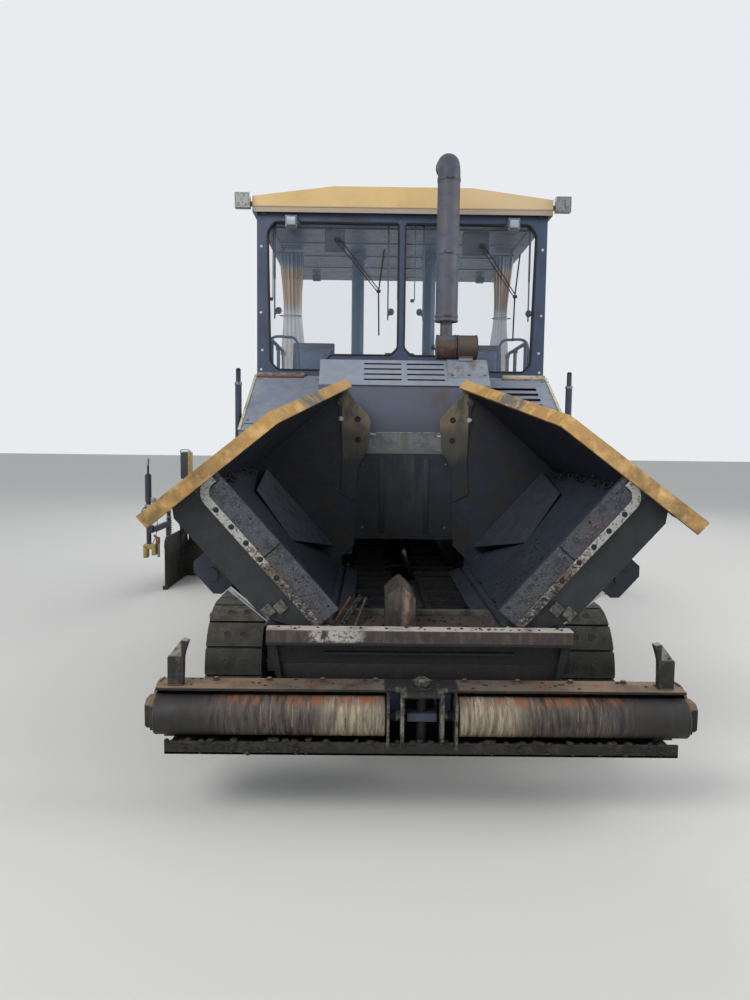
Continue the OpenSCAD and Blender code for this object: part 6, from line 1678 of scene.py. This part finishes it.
def fit_grade_sensor():
    x = SENSOR_X
    bends = run((x - 0.01, 4.665, 0.97), (x - 0.03, 4.63, 0.965), (x - 0.045, 4.6, 0.93), (x - 0.045, 4.6, 0.885))
    clamp = [box((x - 0.034, 4.664, 0.945), (x + 0.03, 4.736, 1.0), 0.008, 3), swept(smoothed(bends, 5), 0.007, 8),
             box((x + 0.03, 4.67, 1.02), (x + 0.08, 4.73, 1.075), 0.008, 3)]
    fit("sensor_clamp", "extension_left", zinc_plate, clamp)
    sleeve = turned([(0.026, 0), (0.034, 0.003), (0.034, 0.30), (0.026, 0.303)], 24)
    fit("sensor_post_sleeve", "extension_left", moulded_abs, [
        moved(sleeve, Matrix.Translation(at(x, SENSOR_Y, 1.02)))])
    handle = [rod((x, SENSOR_Y, 1.415), (x, SENSOR_Y, 1.445), 0.01),
              rod((x, SENSOR_Y, 1.44), (x + 0.03, 4.62, 1.44), 0.007, 8),
              rod((x + 0.03, 4.62, 1.44), (x + 0.03, 4.62, 1.50), 0.01)]
    fit("sensor_crank", "extension_left", zinc_plate, handle)
    yoke = [box((-2.702, 4.655, 0.512), (-2.568, 4.745, 0.566), 0.012, 3),
            box((-2.702, 4.655, 0.415), (-2.656, 4.745, 0.525), 0.01, 3),
            box((-2.612, 4.655, 0.445), (-2.568, 4.745, 0.525), 0.01, 3)]
    fit("sensor_yoke", "extension_left", signal_yellow, yoke)
    fit("sensor_damper", "extension_left", hard_chrome, [rod((-2.553, 4.72, 0.56), (-2.553, 4.72, 0.42), 0.016, 14)])
    fit("sensor_connector", "extension_left", rust_brown_moulding, [
        box((-2.577, 4.695, 0.562), (-2.537, 4.745, 0.64), 0.008, 3),
        rod((-2.60, 4.71, 0.66), (-2.557, 4.72, 0.63), 0.012)])


# ---------------------------------------------------------------- hoses and cables
def hose(name, body, points, diameter, fittings=True):
    """A hydraulic hose between two crimped fittings."""
    path = smoothed(points, max(3, 30 // (len(points) - 1)))
    piece = fit(name, body, black_rubber, [swept(path, diameter / 2, 12)], 180)
    if fittings:
        d = diameter
        sleeve = turned([(0, -0.012), (d * 0.62, -0.012), (d * 0.72, 0), (d * 0.72, d * 1.6), (d * 0.55, d * 1.9),
                         (0, d * 1.9)], 16)
        nut = turned([(0, -0.016), (d * 0.85, -0.016), (d * 0.85, -0.004), (0, -0.004)], 6)
        parts = [stood(shape, spot, ahead - spot) for spot, ahead in ((path[0], path[1]), (path[-1], path[-2]))
                 for shape in (sleeve, nut)]
        fit(f"{name}_fittings", body, zinc_plate, parts)


def fit_hoses():
    for name, s in SIDES.items():
        hose(f"levelling_hose_upper_{name}", "chassis",
             run((s * 1.20, 2.40, 0.92), (s * 1.226, 2.41, 0.90), (s * LEVEL_X, 2.40, 0.98), (s * 1.254, 2.33, 1.10),
                 (s * LEVEL_X, 2.25, 1.165), (s * LEVEL_X, 2.19, 1.17)), 0.016)
        hose(f"levelling_hose_lower_{name}", "chassis",
             run((s * 1.20, 2.50, 0.86), (s * 1.226, 2.50, 0.83), (s * 1.25, 2.45, 0.76), (s * 1.254, 2.36, 0.71),
                 (s * LEVEL_X, 2.26, 0.70), (s * LEVEL_X, 2.19, 0.70)), 0.016)
    slack = ((0.02, 4.735, 0.97), (0.03, 4.80, 0.96), (0.04, 4.86, 0.86), (0.05, 4.84, 0.72), (0.045, 4.79, 0.63),
             (0.04, 4.755, 0.60), (0.03, 4.735, 0.562))
    hose("sensor_cable", "extension_left", [at(SENSOR_X + out, y, z) for out, y, z in slack], 0.008,
         fittings=False)


fit_push_beam()
fit_tracks()
fit_hopper()
for wing, side in SIDES.items():
    fit_wing(wing, side)
fit_bonnet()
fit_exhaust()
fit_side_hoods()
fit_windshield()
fit_roof()
fit_columns()
fit_seat("left", -0.815)
fit_seat("right", 0.835)
fit_curtains()
fit_controls()
fit_platform()
fit_flanks()
fit_undercarriage()
fit_screed()
fit_extensions()
fit_rear_end()
fit_grade_sensor()
fit_hoses()


# ---------------------------------------------------------------- stage, light and camera
def build_stage():
    floor_mesh = bpy.data.meshes.new("studio_floor")
    floor_mesh.from_pydata([(-60, -60, 0), (60, -60, 0), (60, 60, 0), (-60, 60, 0)], [], [(0, 1, 2, 3)])
    floor = bpy.data.objects.new("studio_floor", floor_mesh)
    bpy.context.scene.collection.objects.link(floor)
    material, _, surface, _, _ = start_material("pale_floor", 0.85)
    surface.inputs["Base Color"].default_value = colour("#cfcdc8")
    floor_mesh.materials.append(material)
    world = bpy.data.worlds.new("studio")
    bpy.context.scene.world = world
    world.use_nodes = True
    tree = world.node_tree
    tree.nodes.clear()
    path = add(tree, "ShaderNodeLightPath")
    seen = add(tree, "ShaderNodeMath", {0: path.outputs["Is Camera Ray"], 1: path.outputs["Is Glossy Ray"]},
               operation="MAXIMUM")
    seen = add(tree, "ShaderNodeMath", {0: seen.outputs[0], 1: path.outputs["Is Transmission Ray"]},
               operation="MAXIMUM")
    sky = add(tree, "ShaderNodeBackground", {"Color": colour("#dfe5ec"), "Strength": 0.72})
    backdrop = add(tree, "ShaderNodeBackground", {"Color": colour("#e9ecef"), "Strength": 1.0})
    mixed = add(tree, "ShaderNodeMixShader", {0: seen.outputs[0], 1: sky.outputs[0], 2: backdrop.outputs[0]})
    add(tree, "ShaderNodeOutputWorld", {"Surface": mixed.outputs[0]})


def softbox(name, place, aim, width, height, watts):
    lamp = bpy.data.lights.new(name, "AREA")
    lamp.shape, lamp.size, lamp.size_y, lamp.energy = "RECTANGLE", width, height, watts
    holder = bpy.data.objects.new(name, lamp)
    holder.location = place
    holder.rotation_euler = (Vector(aim) - Vector(place)).to_track_quat("-Z", "Y").to_euler()
    bpy.context.scene.collection.objects.link(holder)


def build_camera():
    """The photograph's view: eye height 1.75 m, 3.28 m in front of the push rollers."""
    yaw, pitch, roll = math.radians(0.44), math.radians(4.81), math.radians(0.68)
    forward = Vector((math.sin(yaw) * math.cos(pitch), math.cos(yaw) * math.cos(pitch), -math.sin(pitch)))
    right = Vector((math.cos(yaw), -math.sin(yaw), 0.0))
    up = right.cross(forward)
    right_turned = math.cos(roll) * right + math.sin(roll) * up
    up_turned = -math.sin(roll) * right + math.cos(roll) * up
    lens = bpy.data.cameras.new("photo_camera")
    lens.sensor_width, lens.lens, lens.clip_end = 36.0, 26.5, 300.0
    camera = bpy.data.objects.new("photo_camera", lens)
    turn = Matrix((right_turned, up_turned, -forward)).transposed().to_4x4()
    camera.matrix_world = Matrix.Translation(at(-0.249, -3.282, 1.746)) @ turn
    bpy.context.scene.collection.objects.link(camera)
    bpy.context.scene.camera = camera


build_stage()
softbox("key_softbox", (-7.0, -9.0, 9.5), (0, 0, 1.2), 7, 5, 900)
softbox("fill_softbox", (8.5, -3.0, 6.0), (0, 0, 1.2), 6, 4, 350)
softbox("rear_softbox", (2.0, 11.0, 7.5), (0, 0, 1.5), 7, 4, 450)
build_camera()
bpy.context.scene.view_settings.view_transform = "Standard"
